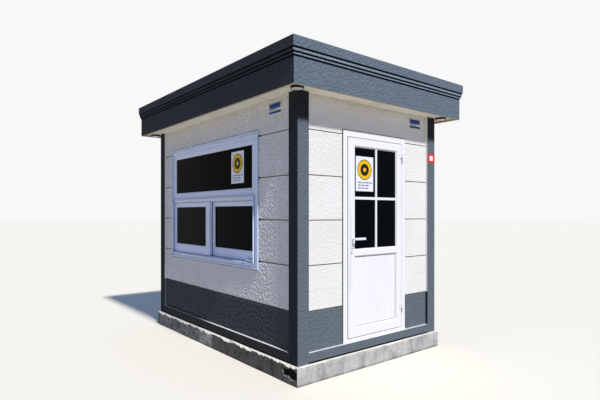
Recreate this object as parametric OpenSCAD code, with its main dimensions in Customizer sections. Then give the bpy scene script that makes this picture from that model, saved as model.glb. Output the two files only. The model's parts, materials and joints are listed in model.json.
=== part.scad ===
// Security guard booth: a flat-roofed cabin of grooved wall panels between square corner posts,
// on a concrete plinth, with a hinged door in the front wall and a sliding window in the left wall.
// The front wall faces -Y and the window wall faces -X. The origin is on the ground, below the centre.

/* [Booth] */
// Width over the corner posts, along the door wall
body_w = 2000; // [1900:50:2600]
// Depth over the corner posts, along the window wall
body_d = 3000; // [2900:50:3600]
// Height of the walls, from the plinth to the ceiling
wall_h = 2420; // [2350:10:2700]
// Face width of the square corner posts
post_w = 130; // [115:5:150]
// Wall thickness of the hollow corner posts
post_tube_t = 5; // [3:1:8]
// Depth of the wall panels behind the face of the posts
panel_recess = 30; // [20:5:40]
// Thickness of the wall panels
panel_t = 80; // [60:5:90]

/* [Base] */
// Height of the concrete plinth, down to the lowest ground that it meets
plinth_h = 170; // [80:10:250]
// Width of the plinth outside the posts
plinth_lip = 30; // [20:5:60]
// Chamfer along the top edge of the plinth
plinth_chamfer = 8; // [4:1:15]
// Height of the ledge on the base rails above the plinth
rail_top = 95; // [80:5:120]
// Gap under the base rails
rail_gap = 10; // [5:1:20]
// Thickness of the floor deck
floor_t = 50; // [30:5:70]

/* [Wall grooves] */
// Height of the lowest groove above the plinth, at the top of the dark dado
dado_h = 460; // [400:5:500]
// Height of one course between grooves
course_h = 409; // [380:1:430]
// Width of a groove
groove_w = 8; // [4:1:14]
// Depth of a groove
groove_depth = 7; // [3:1:12]

/* [Roof] */
// Height of the fascia
fascia_h = 385; // [350:5:500]
// Reach of the lower band of the fascia past the posts
overhang = 195; // [150:5:300]
// Thickness of the lower band of the fascia
fascia_t = 25; // [20:1:40]
// Depth of each of the three steps under the top band
fascia_step = 9; // [6:1:15]
// Reach of the fascia below the ceiling
fascia_drop = 20; // [10:5:40]
// Thickness of the ceiling board
ceiling_t = 20; // [12:1:30]
// Depth of the roof sheet below the top of the fascia
parapet_h = 100; // [60:10:150]
// Diameter of a soffit light
light_d = 120; // [100:10:130]
// Depth of a soffit light below the ceiling
light_drop = 22; // [14:1:30]

/* [Door] */
// Width over the door frame
door_w = 920; // [860:10:1000]
// Height over the door frame
door_h = 2040; // [1980:5:2100]
// Distance of the door's centre from the centre of the front wall, towards +X
door_shift = 35; // [-50:5:60]
// Face width of the door frame
jamb_face = 55; // [45:1:70]
// Gap round the closed leaf
leaf_gap = 6; // [5:0.5:8]
// Thickness of the leaf
leaf_t = 60; // [50:1:70]
// Width of the lock stile
lock_stile = 105; // [95:1:120]
// Width of the hinge stile
hinge_stile = 85; // [75:1:110]
// Height of the lower edge of the door's glass above the plinth
door_light_h = 995; // [960:5:1040]
// Height of the handle above the plinth
handle_h = 1093; // [1050:1:1150]
// Height of the lower hinge above the plinth
lower_hinge_h = 330; // [250:10:500]
// Height of the upper hinge above the plinth
upper_hinge_h = 1928; // [1700:2:1950]

/* [Window] */
// Width over the window frame
window_w = 2022; // [1800:2:2100]
// Height over the window frame
window_h = 1368; // [1200:2:1400]
// Height of the window frame's lower edge above the plinth
window_sill_h = 782; // [760:2:800]
// Distance of the window's centre from the centre of the left wall, towards the back
window_shift = 172; // [100:2:176]
// Face width of the window frame
window_face = 62; // [50:1:80]
// Height of the transom's underside above the plinth
transom_h = 1476; // [1440:2:1500]
// Width of the outer sliding sash
outer_sash_w = 960; // [900:5:1020]
// Width by which the two sliding sashes overlap
sash_overlap = 64; // [40:2:90]

/* [Hidden] */
$fn = 48;

// Colours of the finishes
anthracite = "#5d6871";
cream = "#f1efe9";
plastic_white = "#f3f4f8";
pane_tint = "#3c4a50";
concrete_grey = "#b9b6ae";
floor_grey = "#7d7a74";
zinc_grey = "#c3c6c8";
handle_white = "#ececec";
// Heights of the main levels
foot_z = plinth_h;
ledge_z = foot_z + rail_top;
soffit_z = foot_z + wall_h;
roof_top_z = soffit_z - fascia_drop + fascia_h;
floor_drop = 5;
floor_z = ledge_z - floor_drop;
// Corners of the body
half_w = body_w / 2;
half_d = body_d / 2;
rail_depth = panel_recess + panel_t;
rail_tube_t = 4;
trim_lip = 8;
fuse = 1;
// Profile of the fascia from the top: the lower limit of each band as a share of its height, and its reach
top_band_share = 0.23;
first_step_share = 0.32;
second_step_share = 0.39;
// Roof sheet
sheet_t = 4;
sheet_rib_h = 35;
sheet_rib_w = 60;
sheet_rib_pitch = 250;
// Soffit lights
light_rim = 8;
light_taper = 2;
light_sink = 4;
// Reach of each light's centre past the corner post next to it
light_places = [[-1, -1, 60, 70], [1, -1, 32, 58], [-1, 1, 35, 85], [1, 1, 60, 60]];
// Door
door_left = door_shift - door_w / 2;
door_right = door_shift + door_w / 2;
door_bottom = ledge_z;
door_top = door_bottom + door_h;
door_front = -half_d + panel_recess - trim_lip;
door_back = -half_d + panel_recess + panel_t + trim_lip;
leaf_left = door_left + jamb_face + leaf_gap;
leaf_right = door_right - jamb_face - leaf_gap;
threshold_h = 34;
leaf_bottom = door_bottom + threshold_h + leaf_gap;
leaf_top = door_top - jamb_face - leaf_gap;
leaf_proud = 4;
leaf_front = door_front - leaf_proud;
leaf_back = leaf_front + leaf_t;
stop_cover = 20;
stop_gap = 6;
top_rail = 90;
mid_rail = 80;
bottom_rail = 100;
light_splay = 16;
board_splay = 14;
glass_recess = 18;
pane_t = 24;
bar_w = 26;
bar_t = 8;
lower_panel_recess = 18;
lower_panel_t = 24;
plank_pitch = 100;
plank_groove = 4;
// Edges of the glazed and the boarded opening of the leaf
light_left = leaf_left + lock_stile;
light_right = leaf_right - hinge_stile;
light_bottom = foot_z + door_light_h;
light_top = leaf_top - top_rail;
board_bottom = leaf_bottom + bottom_rail;
board_top = light_bottom - mid_rail;
// Handle and lock
handle_inset = 50;
handle_x = leaf_left + handle_inset;
handle_z = foot_z + handle_h;
plate_w = 32;
plate_len = 205;
plate_t = 8;
plate_drop = 33;
spindle_r = 5;
spindle_bore_r = 5.1;
leaf_bore_r = 8;
neck_r = 8;
neck_len = 46;
lever_len = 125;
lever_r = 11;
lever_t = 12;
lever_gap = 1.5;
lock_drop = 90;
lock_r = 8.5;
lock_proud = 2;
// Hinges
hinge_x = leaf_right + leaf_gap / 2;
hinge_proud = 14;
hinge_y = leaf_front - hinge_proud;
hinge_r = 9;
hinge_half = 40;
hinge_split = 1;
hinge_pin_r = 4;
hinge_bore_r = 4.1;
pin_short = 8;
bore_short = 4;
flag_w = 34;
flag_t = 6;
web_clear = 2.5;
hinge_heights = [foot_z + lower_hinge_h, foot_z + upper_hinge_h];
// Window, in the wall's own frame: x runs towards the front corner, outward is -y
window_right = window_w / 2 - window_shift;
window_left = window_right - window_w;
window_bottom = foot_z + window_sill_h;
window_top = window_bottom + window_h;
window_front = -half_w + panel_recess - trim_lip;
window_back = -half_w + panel_recess + panel_t + trim_lip;
transom_z = foot_z + transom_h;
transom_w = 62;
face_step_w = 9;
face_step_t = 4;
bead_w = 60;
bead_splay = 26;
bead_recess = 6;
window_glass_recess = 18;
// Sliding sashes and their tracks
sash_from = window_left + window_face;
sash_to = window_right - window_face;
sash_t = 34;
track_gap = 4;
outer_sash_to = sash_from + outer_sash_w;
inner_sash_from = outer_sash_to - sash_overlap;
far_stile = 62;
sash_stile = 114;
sash_bottom_rail = 107;
sash_top_rail = 57;
sash_play = 4;
track_rib_w = 10;
outer_sash_recess = 12;
inner_sash_recess = outer_sash_recess + sash_t + track_gap;
sash_glass_t = 18;
sash_glass_recess = 9;
sash_splay = 22;
stop_len = 170;
stop_h = 28;
stop_t = 30;
stop_from_jamb = 14;

// Places its children, drawn for the front wall, on the wall that faces the given way
module on_wall(side) {
    turn = side == "front" ? 0 : side == "right" ? 90 : side == "back" ? 180 : -90;
    rotate([0, 0, turn]) children();
}

// Half the length of a wall between the outer faces of its corner posts
function half_run(side) = side == "front" || side == "back" ? half_w : half_d;

// Distance of a wall's post faces from the centre of the booth
function reach(side) = side == "front" || side == "back" ? half_d : half_w;

// Box between two corners
module box(low, high) {
    translate(low) cube(high - low);
}

// Mouth of an opening that narrows from low.y to high.y by the splay on all four sides
module splayed_mouth(low, high, splay) {
    intersection() {
        translate([0, 0, low.z - splay]) linear_extrude(high.z - low.z + 2 * splay) polygon([
            [low.x - splay, low.y], [high.x + splay, low.y], [high.x, high.y], [low.x, high.y]
        ]);
        translate([low.x - splay, 0, 0]) rotate([90, 0, 90])
            linear_extrude(high.x - low.x + 2 * splay) polygon([
                [low.y, low.z - splay], [high.y, low.z], [high.y, high.z], [low.y, high.z + splay]
            ]);
    }
}

// Length of grooved wall panel between x0 and x1 and between z0 and z1
module wall_panel(side, x0, x1, z0, z1) {
    face = -reach(side) + panel_recess;
    last_course = floor((wall_h - dado_h) / course_h);
    color(cream) difference() {
        box([x0, face, z0], [x1, face + panel_t, z1]);
        for (course = [0 : last_course]) {
            z = foot_z + dado_h + course * course_h;
            if (z > z0 && z < z1)
                box(
                    [x0 - fuse, face - fuse, z - groove_w / 2],
                    [x1 + fuse, face + groove_depth, z + groove_w / 2]
                );
        }
    }
}

module concrete_plinth() {
    lip_w = body_w + 2 * plinth_lip;
    lip_d = body_d + 2 * plinth_lip;
    color(concrete_grey) difference() {
        box([-lip_w / 2, -lip_d / 2, 0], [lip_w / 2, lip_d / 2, plinth_h]);
        for (side = [0 : 3]) {
            edge = side % 2 == 0 ? lip_d / 2 : lip_w / 2;
            rotate([0, 0, 90 * side])
                translate([0, -edge, plinth_h]) rotate([45, 0, 0])
                    cube([2 * body_d, plinth_chamfer * sqrt(2), plinth_chamfer * sqrt(2)], center = true);
        }
    }
}

// Tube between two corner posts, whose top makes the ledge in front of the panels
module base_rail(side) {
    end = half_run(side) - post_w;
    front = -reach(side);
    back = front + rail_depth;
    underside = foot_z + rail_gap;
    color(anthracite) on_wall(side) difference() {
        box([-end, front, underside], [end, back, ledge_z]);
        box(
            [-end - fuse, front + rail_tube_t, underside + rail_tube_t],
            [end + fuse, back - rail_tube_t, ledge_z - rail_tube_t]
        );
    }
}

module base_rail_front() { base_rail("front"); }
module base_rail_back() { base_rail("back"); }
module base_rail_left() { base_rail("left"); }
module base_rail_right() { base_rail("right"); }

module floor_deck() {
    inner_w = half_w - rail_depth;
    inner_d = half_d - rail_depth;
    color(floor_grey) difference() {
        box([-inner_w, -inner_d, floor_z - floor_t], [inner_w, inner_d, floor_z]);
        for (x = [-1, 1], y = [-1, 1])
            translate([x * (half_w - post_w / 2), y * (half_d - post_w / 2), floor_z])
                cube([post_w, post_w, 3 * floor_t], center = true);
    }
}

// Square tube from the plinth to the ceiling
module corner_post(x, y) {
    color(anthracite) translate([x * (half_w - post_w / 2), y * (half_d - post_w / 2), foot_z])
        linear_extrude(wall_h) difference() {
            square(post_w, center = true);
            square(post_w - 2 * post_tube_t, center = true);
        }
}

module corner_post_front_left() { corner_post(-1, -1); }
module corner_post_front_right() { corner_post(1, -1); }
module corner_post_back_left() { corner_post(-1, 1); }
module corner_post_back_right() { corner_post(1, 1); }

module front_wall_left() {
    wall_panel("front", -half_w + post_w, door_left, ledge_z, soffit_z);
}

module front_wall_right() {
    wall_panel("front", door_right, half_w - post_w, ledge_z, soffit_z);
}

module front_wall_head() {
    wall_panel("front", door_left, door_right, door_top, soffit_z);
}

module left_wall_front() {
    on_wall("left") wall_panel("left", window_right, half_d - post_w, ledge_z, soffit_z);
}

module left_wall_back() {
    on_wall("left") wall_panel("left", -half_d + post_w, window_left, ledge_z, soffit_z);
}

module left_wall_below_window() {
    on_wall("left") wall_panel("left", window_left, window_right, ledge_z, window_bottom);
}

module left_wall_above_window() {
    on_wall("left") wall_panel("left", window_left, window_right, window_top, soffit_z);
}

module back_wall() {
    on_wall("back") wall_panel("back", -half_w + post_w, half_w - post_w, ledge_z, soffit_z);
}

module right_wall() {
    on_wall("right") wall_panel("right", -half_d + post_w, half_d - post_w, ledge_z, soffit_z);
}

// Flat board over the whole plan: the ceiling inside and the soffit outside
module ceiling_board() {
    x = half_w + overhang - fascia_t;
    y = half_d + overhang - fascia_t;
    color(cream) box([-x, -y, soffit_z], [x, y, soffit_z + ceiling_t]);
}

// One band of a mitred fascia length, from z0 to z1, with its face at the given reach past the posts
module fascia_band(side, z0, z1, out) {
    inner = overhang - fascia_t;
    run = half_run(side);
    dist = reach(side);
    translate([0, 0, z0]) linear_extrude(z1 - z0) polygon([
        [-run - out, -dist - out], [run + out, -dist - out],
        [run + inner, -dist - inner], [-run - inner, -dist - inner]
    ]);
}

// Fascia length with a proud top band and three small steps down to the plain lower band
module fascia(side) {
    shares = [0, top_band_share, first_step_share, second_step_share, 1];
    color(anthracite) on_wall(side) union() {
        for (band = [0 : 3])
            fascia_band(
                side, roof_top_z - fascia_h * shares[band + 1], roof_top_z - fascia_h * shares[band],
                overhang + fascia_step * (3 - band)
            );
    }
}

module fascia_front() { fascia("front"); }
module fascia_back() { fascia("back"); }
module fascia_left() { fascia("left"); }
module fascia_right() { fascia("right"); }

// Folded roof sheet, hidden behind the parapet, with ribs that run from front to back
module roof_sheet() {
    x = half_w + overhang - fascia_t;
    y = half_d + overhang - fascia_t;
    z = roof_top_z - parapet_h;
    rib_count = floor(2 * (x - sheet_rib_w) / sheet_rib_pitch);
    color(zinc_grey) union() {
        box([-x, -y, z - sheet_t], [x, y, z]);
        for (rib = [0 : rib_count])
            translate([(rib - rib_count / 2) * sheet_rib_pitch, y, z - fuse]) rotate([90, 0, 0])
                linear_extrude(2 * y) polygon([
                    [-sheet_rib_w / 2, 0], [sheet_rib_w / 2, 0],
                    [sheet_rib_w / 4, sheet_rib_h + fuse], [-sheet_rib_w / 4, sheet_rib_h + fuse]
                ]);
    }
}

// Round surface light: a rim with a slightly sunk diffuser
module soffit_light() {
    r = light_d / 2;
    rotate_extrude() polygon([
        [0, 0], [r, 0], [r - light_taper, -light_drop], [r - light_rim, -light_drop],
        [r - light_rim, -light_drop + light_sink], [0, -light_drop + light_sink]
    ]);
}

// The four lights near the corners of the soffit
module soffit_lights() {
    color(plastic_white) for (place = light_places)
        translate([place[0] * (half_w + place[2]), place[1] * (half_d + place[3]), soffit_z]) soffit_light();
}

// Welded plastic frame with a transom, the beads of the upper pane and the tracks of the sashes
module window_frame() {
    inner_bottom = window_bottom + window_face;
    inner_top = window_top - window_face;
    transom_top = transom_z + transom_w;
    bead_front = window_front + bead_recess;
    pane_front = window_front + window_glass_recess;
    pane_back = pane_front + pane_t;
    color(plastic_white) on_wall("left") difference() {
        box([window_left, window_front, window_bottom], [window_right, window_back, window_top]);
        box([sash_from, window_front - fuse, inner_bottom], [sash_to, window_back + fuse, transom_z]);
        box(
            [sash_from - face_step_w, window_front - fuse, inner_bottom - face_step_w],
            [sash_to + face_step_w, window_front + face_step_t, transom_z + face_step_w]
        );
        box([sash_from, window_front - fuse, transom_top], [sash_to, bead_front, inner_top]);
        splayed_mouth(
            [sash_from + bead_w, bead_front - fuse, transom_top + bead_w],
            [sash_to - bead_w, pane_front, inner_top - bead_w], bead_splay
        );
        box([sash_from, pane_front, transom_top], [sash_to, pane_back, inner_top]);
        splayed_mouth(
            [sash_from + bead_w, window_back + fuse, transom_top + bead_w],
            [sash_to - bead_w, pane_back, inner_top - bead_w], bead_splay
        );
    }
    color(plastic_white) on_wall("left") for (recess = [outer_sash_recess, inner_sash_recess])
        track_ribs(window_front + recess + (sash_t - track_rib_w) / 2);
}

// Ribs of one track on the sill and under the transom, which the sash runs between
module track_ribs(y) {
    for (z = [window_bottom + window_face, transom_z - sash_play])
        box([sash_from, y, z], [sash_to, y + track_rib_w, z + sash_play]);
}

module upper_pane() {
    front = window_front + window_glass_recess;
    color(pane_tint, 0.5) on_wall("left") box(
        [sash_from, front, transom_z + transom_w],
        [sash_to, front + pane_t, window_top - window_face]
    );
}

// Sliding sash with its outer edges at x0 and x1 and the pane's edges at pane_x0 and pane_x1
module sliding_sash(x0, x1, pane_x0, pane_x1, recess) {
    z0 = window_bottom + window_face + sash_play;
    z1 = transom_z - sash_play;
    front = window_front + recess;
    pane_z0 = z0 + sash_bottom_rail;
    pane_z1 = z1 - sash_top_rail;
    color(plastic_white) on_wall("left") difference() {
        box([x0, front, z0], [x1, front + sash_t, z1]);
        splayed_mouth(
            [pane_x0, front - fuse, pane_z0], [pane_x1, front + sash_glass_recess, pane_z1], sash_splay
        );
        box([pane_x0, front, pane_z0], [pane_x1, front + sash_t + fuse, pane_z1]);
    }
}

// Pane of a sliding sash between x0 and x1
module sash_glass(x0, x1, recess) {
    z0 = window_bottom + window_face + sash_play + sash_bottom_rail;
    z1 = transom_z - sash_play - sash_top_rail;
    front = window_front + recess + sash_glass_recess;
    color(pane_tint, 0.5) on_wall("left") box([x0, front, z0], [x1, front + sash_glass_t, z1]);
}

module sliding_sash_outer() {
    sliding_sash(
        sash_from, outer_sash_to, sash_from + far_stile, outer_sash_to - sash_stile, outer_sash_recess
    );
}

module sash_glass_outer() {
    sash_glass(sash_from + far_stile, outer_sash_to - sash_stile, outer_sash_recess);
}

module sliding_sash_inner() {
    sliding_sash(
        inner_sash_from, sash_to, inner_sash_from + sash_stile, sash_to - sash_stile, inner_sash_recess
    );
}

module sash_glass_inner() {
    sash_glass(inner_sash_from + sash_stile, sash_to - sash_stile, inner_sash_recess);
}

// Block that stops the outer sash, standing on the empty outer track
module sash_stop() {
    front = window_front + outer_sash_recess;
    x = sash_to - stop_from_jamb;
    color(plastic_white) on_wall("left") box(
        [x - stop_len, front, window_bottom + window_face + sash_play],
        [x, front + stop_t, window_bottom + window_face + stop_h]
    );
}

// Side length of the door frame, with the stop that the leaf closes against
module door_jamb(x0, x1, stop_x0, stop_x1) {
    color(plastic_white) union() {
        box([x0, door_front, door_bottom], [x1, door_back, door_top]);
        box(
            [stop_x0, leaf_back + stop_gap, door_bottom + threshold_h],
            [stop_x1, door_back, door_top - jamb_face]
        );
    }
}

module door_jamb_lock_side() {
    inner = door_left + jamb_face;
    door_jamb(door_left, inner, inner - fuse, inner + stop_cover);
}

module door_jamb_hinge_side() {
    inner = door_right - jamb_face;
    door_jamb(inner, door_right, inner - stop_cover, inner + fuse);
}

module door_head() {
    x0 = door_left + jamb_face;
    x1 = door_right - jamb_face;
    z = door_top - jamb_face;
    color(plastic_white) union() {
        box([x0, door_front, z], [x1, door_back, door_top]);
        box([x0 + stop_cover, leaf_back + stop_gap, z - stop_cover], [x1 - stop_cover, door_back, z + fuse]);
    }
}

module door_threshold() {
    x0 = door_left + jamb_face;
    x1 = door_right - jamb_face;
    z = door_bottom + threshold_h;
    color(plastic_white) union() {
        box([x0, door_front, door_bottom], [x1, door_back, z]);
        box([x0 + stop_cover, leaf_back + stop_gap, z - fuse], [x1 - stop_cover, door_back, z + stop_cover]);
    }
}

// Frame halves of the hinges: lower knuckle with its pin, web and flag
module hinge_pins() {
    color(plastic_white) for (z = hinge_heights)
        union() {
            translate([hinge_x, hinge_y, z - hinge_half])
                cylinder(r = hinge_r, h = hinge_half - hinge_split);
            translate([hinge_x, hinge_y, z - hinge_half])
                cylinder(r = hinge_pin_r, h = 2 * hinge_half - pin_short);
            box(
                [hinge_x + web_clear, hinge_y, z - hinge_half],
                [hinge_x + hinge_r, door_front, z - hinge_split]
            );
            box(
                [hinge_x + web_clear, door_front - flag_t, z - hinge_half],
                [hinge_x + flag_w, door_front, z - hinge_split]
            );
        }
}

// Leaf halves of the hinges: upper knuckle with its bore, web and flag
module door_hinge_leaves() {
    color(plastic_white) for (z = hinge_heights)
        difference() {
            union() {
                translate([hinge_x, hinge_y, z + hinge_split])
                    cylinder(r = hinge_r, h = hinge_half - hinge_split);
                box(
                    [hinge_x - hinge_r, hinge_y, z + hinge_split],
                    [hinge_x - web_clear, leaf_front, z + hinge_half]
                );
                box(
                    [hinge_x - flag_w, leaf_front - flag_t, z + hinge_split],
                    [hinge_x - web_clear, leaf_front, z + hinge_half]
                );
            }
            translate([hinge_x, hinge_y, z - fuse])
                cylinder(r = hinge_bore_r, h = hinge_half + fuse - bore_short);
        }
}

// Splayed mouth of the leaf's glazed opening, between a face of the leaf and the pane
module light_mouth(face, pane) {
    splayed_mouth([light_left, face, light_bottom], [light_right, pane, light_top], light_splay);
}

module door_leaf() {
    pane_front = leaf_front + glass_recess;
    pane_back = pane_front + pane_t;
    board_front = leaf_front + lower_panel_recess;
    color(plastic_white) difference() {
        box([leaf_left, leaf_front, leaf_bottom], [leaf_right, leaf_back, leaf_top]);
        light_mouth(leaf_front - fuse, pane_front);
        box([light_left, leaf_front, light_bottom], [light_right, leaf_back, light_top]);
        light_mouth(leaf_back + fuse, pane_back);
        splayed_mouth(
            [light_left, leaf_front - fuse, board_bottom], [light_right, board_front, board_top], board_splay
        );
        box([light_left, leaf_front, board_bottom], [light_right, leaf_back + fuse, board_top]);
        translate([handle_x, leaf_back + fuse, handle_z]) rotate([90, 0, 0])
            cylinder(r = leaf_bore_r, h = leaf_t + 2 * fuse);
        translate([handle_x, leaf_back + fuse, handle_z - lock_drop]) rotate([90, 0, 0])
            cylinder(r = lock_r, h = leaf_t + 2 * fuse);
    }
}

module door_glass() {
    color(pane_tint, 0.5) box(
        [light_left, leaf_front + glass_recess, light_bottom],
        [light_right, leaf_front + glass_recess + pane_t, light_top]
    );
}

// Cross of glazing bars between y0 and y1, long enough to reach into the splayed mouth
module bar_cross(y0, y1) {
    x = (light_left + light_right) / 2;
    z = (light_bottom + light_top) / 2;
    box([x - bar_w / 2, y0, light_bottom - light_splay], [x + bar_w / 2, y1, light_top + light_splay]);
    box([light_left - light_splay, y0, z - bar_w / 2], [light_right + light_splay, y1, z + bar_w / 2]);
}

// Crossed bars on both faces of the pane, which divide it into four lights
module door_glazing_bars() {
    pane_front = leaf_front + glass_recess;
    pane_back = pane_front + pane_t;
    color(plastic_white) intersection() {
        bar_cross(pane_front - bar_t, pane_front);
        light_mouth(leaf_front - fuse, pane_front);
    }
    color(plastic_white) intersection() {
        bar_cross(pane_back, pane_back + bar_t);
        light_mouth(leaf_back + fuse, pane_back);
    }
}

// Boarded lower panel with shallow upright grooves between its planks
module door_lower_panel() {
    front = leaf_front + lower_panel_recess;
    grooves = floor((light_right - light_left) / plank_pitch);
    color(plastic_white) difference() {
        box([light_left, front, board_bottom], [light_right, front + lower_panel_t, board_top]);
        for (groove = [1 : grooves])
            translate([light_left + (groove - 0.5) * plank_pitch, front, board_bottom - fuse])
                rotate([0, 0, 45])
                    translate([-plank_groove / 2, -plank_groove / 2, 0])
                        cube([plank_groove, plank_groove, board_top - board_bottom + 2 * fuse]);
    }
}

// Long plate with round ends behind a lever, standing from y0 to y1
module handle_plate(y0, y1) {
    straight = plate_len / 2 - plate_w / 2;
    difference() {
        union() {
            for (end = [-1, 1])
                translate([handle_x, y1, handle_z - plate_drop + end * straight]) rotate([90, 0, 0])
                    cylinder(d = plate_w, h = y1 - y0);
            box(
                [handle_x - plate_w / 2, y0, handle_z - plate_drop - straight],
                [handle_x + plate_w / 2, y1, handle_z - plate_drop + straight]
            );
        }
        translate([handle_x, y1 + fuse, handle_z]) rotate([90, 0, 0])
            cylinder(r = spindle_bore_r, h = y1 - y0 + 2 * fuse);
    }
}

// Outer and inner handle plates with the lock cylinder that joins them through the leaf
module door_handle_plates() {
    color(handle_white) union() {
        handle_plate(leaf_front - plate_t, leaf_front);
        handle_plate(leaf_back, leaf_back + plate_t);
        translate([handle_x, leaf_back + plate_t + lock_proud, handle_z - lock_drop]) rotate([90, 0, 0])
            cylinder(r = lock_r, h = leaf_t + 2 * plate_t + 2 * lock_proud);
    }
}

// Lever handle: spindle through the leaf, and a neck and an arm on each side
module door_lever() {
    plate_outer = leaf_front - plate_t - lever_gap;
    plate_inner = leaf_back + plate_t + lever_gap;
    arm_outer = plate_outer - neck_len;
    arm_inner = plate_inner + neck_len;
    color(handle_white) union() {
        translate([handle_x, arm_inner, handle_z]) rotate([90, 0, 0])
            cylinder(r = spindle_r, h = arm_inner - arm_outer);
        for (neck = [[arm_outer, plate_outer], [plate_inner, arm_inner]])
            translate([handle_x, neck[1], handle_z]) rotate([90, 0, 0])
                cylinder(r = neck_r, h = neck[1] - neck[0]);
        for (y = [arm_outer, arm_inner]) {
            for (x = [handle_x, handle_x + lever_len])
                translate([x, y + lever_t / 2, handle_z]) rotate([90, 0, 0])
                    cylinder(r = lever_r, h = lever_t);
            box(
                [handle_x, y - lever_t / 2, handle_z - lever_r],
                [handle_x + lever_len, y + lever_t / 2, handle_z + lever_r]
            );
        }
    }
}

concrete_plinth();
base_rail_front();
base_rail_back();
base_rail_left();
base_rail_right();
floor_deck();
corner_post_front_left();
corner_post_front_right();
corner_post_back_left();
corner_post_back_right();
front_wall_left();
front_wall_right();
front_wall_head();
left_wall_front();
left_wall_back();
left_wall_below_window();
left_wall_above_window();
back_wall();
right_wall();
ceiling_board();
fascia_front();
fascia_back();
fascia_left();
fascia_right();
roof_sheet();
soffit_lights();
window_frame();
upper_pane();
sliding_sash_outer();
sash_glass_outer();
sliding_sash_inner();
sash_glass_inner();
sash_stop();
door_jamb_lock_side();
door_jamb_hinge_side();
door_head();
door_threshold();
hinge_pins();
door_leaf();
door_glass();
door_glazing_bars();
door_lower_panel();
door_handle_plates();
door_hinge_leaves();
door_lever();
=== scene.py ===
"""Looks of a security guard booth with grooved, coated walls, a sliding window and a glazed door.

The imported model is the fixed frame. Each sub-assembly below dresses its own nodes and adds the small
pieces that it needs: seals, screws, caps, plates and worn edges. Lengths are in millimetres where a name
ends in _mm and in metres elsewhere. A run is measured along a wall, to the right as seen from outside,
and a reach is measured outwards from the booth's centre.
"""
from __future__ import annotations

import json
import logging
import math
from collections.abc import Iterable, Sequence
from dataclasses import dataclass
from enum import Enum
from functools import cached_property, reduce

import bmesh
import bpy
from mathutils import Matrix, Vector, noise

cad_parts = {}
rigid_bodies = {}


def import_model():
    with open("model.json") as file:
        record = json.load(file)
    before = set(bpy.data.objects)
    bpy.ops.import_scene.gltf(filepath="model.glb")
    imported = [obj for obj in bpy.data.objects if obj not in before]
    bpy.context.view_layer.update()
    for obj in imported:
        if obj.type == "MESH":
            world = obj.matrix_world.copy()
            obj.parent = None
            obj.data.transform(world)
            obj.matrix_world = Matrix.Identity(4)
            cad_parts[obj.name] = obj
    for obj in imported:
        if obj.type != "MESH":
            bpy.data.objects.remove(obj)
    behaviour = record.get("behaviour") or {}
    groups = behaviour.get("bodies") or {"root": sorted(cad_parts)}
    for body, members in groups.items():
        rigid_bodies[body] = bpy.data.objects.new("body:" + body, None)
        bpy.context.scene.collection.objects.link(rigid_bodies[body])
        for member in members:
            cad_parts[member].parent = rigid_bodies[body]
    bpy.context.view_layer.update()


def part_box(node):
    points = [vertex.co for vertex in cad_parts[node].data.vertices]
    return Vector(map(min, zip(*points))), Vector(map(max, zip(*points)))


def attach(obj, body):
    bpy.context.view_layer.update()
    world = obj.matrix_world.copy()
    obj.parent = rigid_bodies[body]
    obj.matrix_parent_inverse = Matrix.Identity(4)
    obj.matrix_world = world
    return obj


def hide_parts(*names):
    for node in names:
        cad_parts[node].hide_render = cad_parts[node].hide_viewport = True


LOG = logging.getLogger("booth")
MM = 0.001
Point = tuple[float, float]
Profile = Sequence[Point]
Source = bpy.types.Node | bpy.types.NodeSocket


class WallSide(Enum):
    """The four walls, named by the way they face."""

    FRONT = "front"
    LEFT = "left"
    BACK = "back"
    RIGHT = "right"

    def point(self, along: float, up: float, out: float) -> Vector:
        """Places a point on or near a wall.

        Args:
            along: its run.
            up: its height.
            out: its reach.

        Returns:
            The point in the booth's frame.
        """
        turned = {
            WallSide.FRONT: (along, -out),
            WallSide.LEFT: (-out, -along),
            WallSide.BACK: (-along, out),
            WallSide.RIGHT: (out, along),
        }
        return Vector((*turned[self], up))

    def rectangle(self, node: str) -> tuple[Point, Point, float, float]:
        """Reads the rectangle that a node takes up on the front or the left wall.

        Args:
            node: the node's name.

        Returns:
            Its lowest run and height, its highest run and height, and the reach of its back and its face.
        """
        low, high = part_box(node)
        if self is WallSide.LEFT:
            return (-high.y, low.z), (-low.y, high.z), -high.x, -low.x
        return (low.x, low.z), (high.x, high.z), -high.y, -low.y


class Body(Enum):
    """The bodies that pieces ride on."""

    BOOTH = "booth"
    DOOR = "door"


class Slot(Enum):
    """The names of the material slots that are passed along with added pieces."""

    CONCRETE = "concrete"
    ANTHRACITE = "anthracite_coat"
    WALL = "wall_coat"
    ZINC = "zinc_sheet"
    LAMP = "lamp_plastic"
    WHITE = "white_plastic"
    METAL = "handle_metal"


def linear(code: str) -> tuple[float, float, float, float]:
    """Turns an sRGB colour into a linear one.

    Args:
        code: its hex code, such as #5d6871.

    Returns:
        The linear colour, with full opacity.
    """
    shares = [int(code[start:start + 2], 16) / 255 for start in (1, 3, 5)]
    turned = [share / 12.92 if share <= 0.04045 else ((share + 0.055) / 1.055) ** 2.4 for share in shares]
    return (*turned, 1.0)


def per_metre(size_mm: float) -> float:
    """Gives the texture scale at which one feature of a pattern has a real size in millimetres."""
    return 1000 / size_mm


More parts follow.
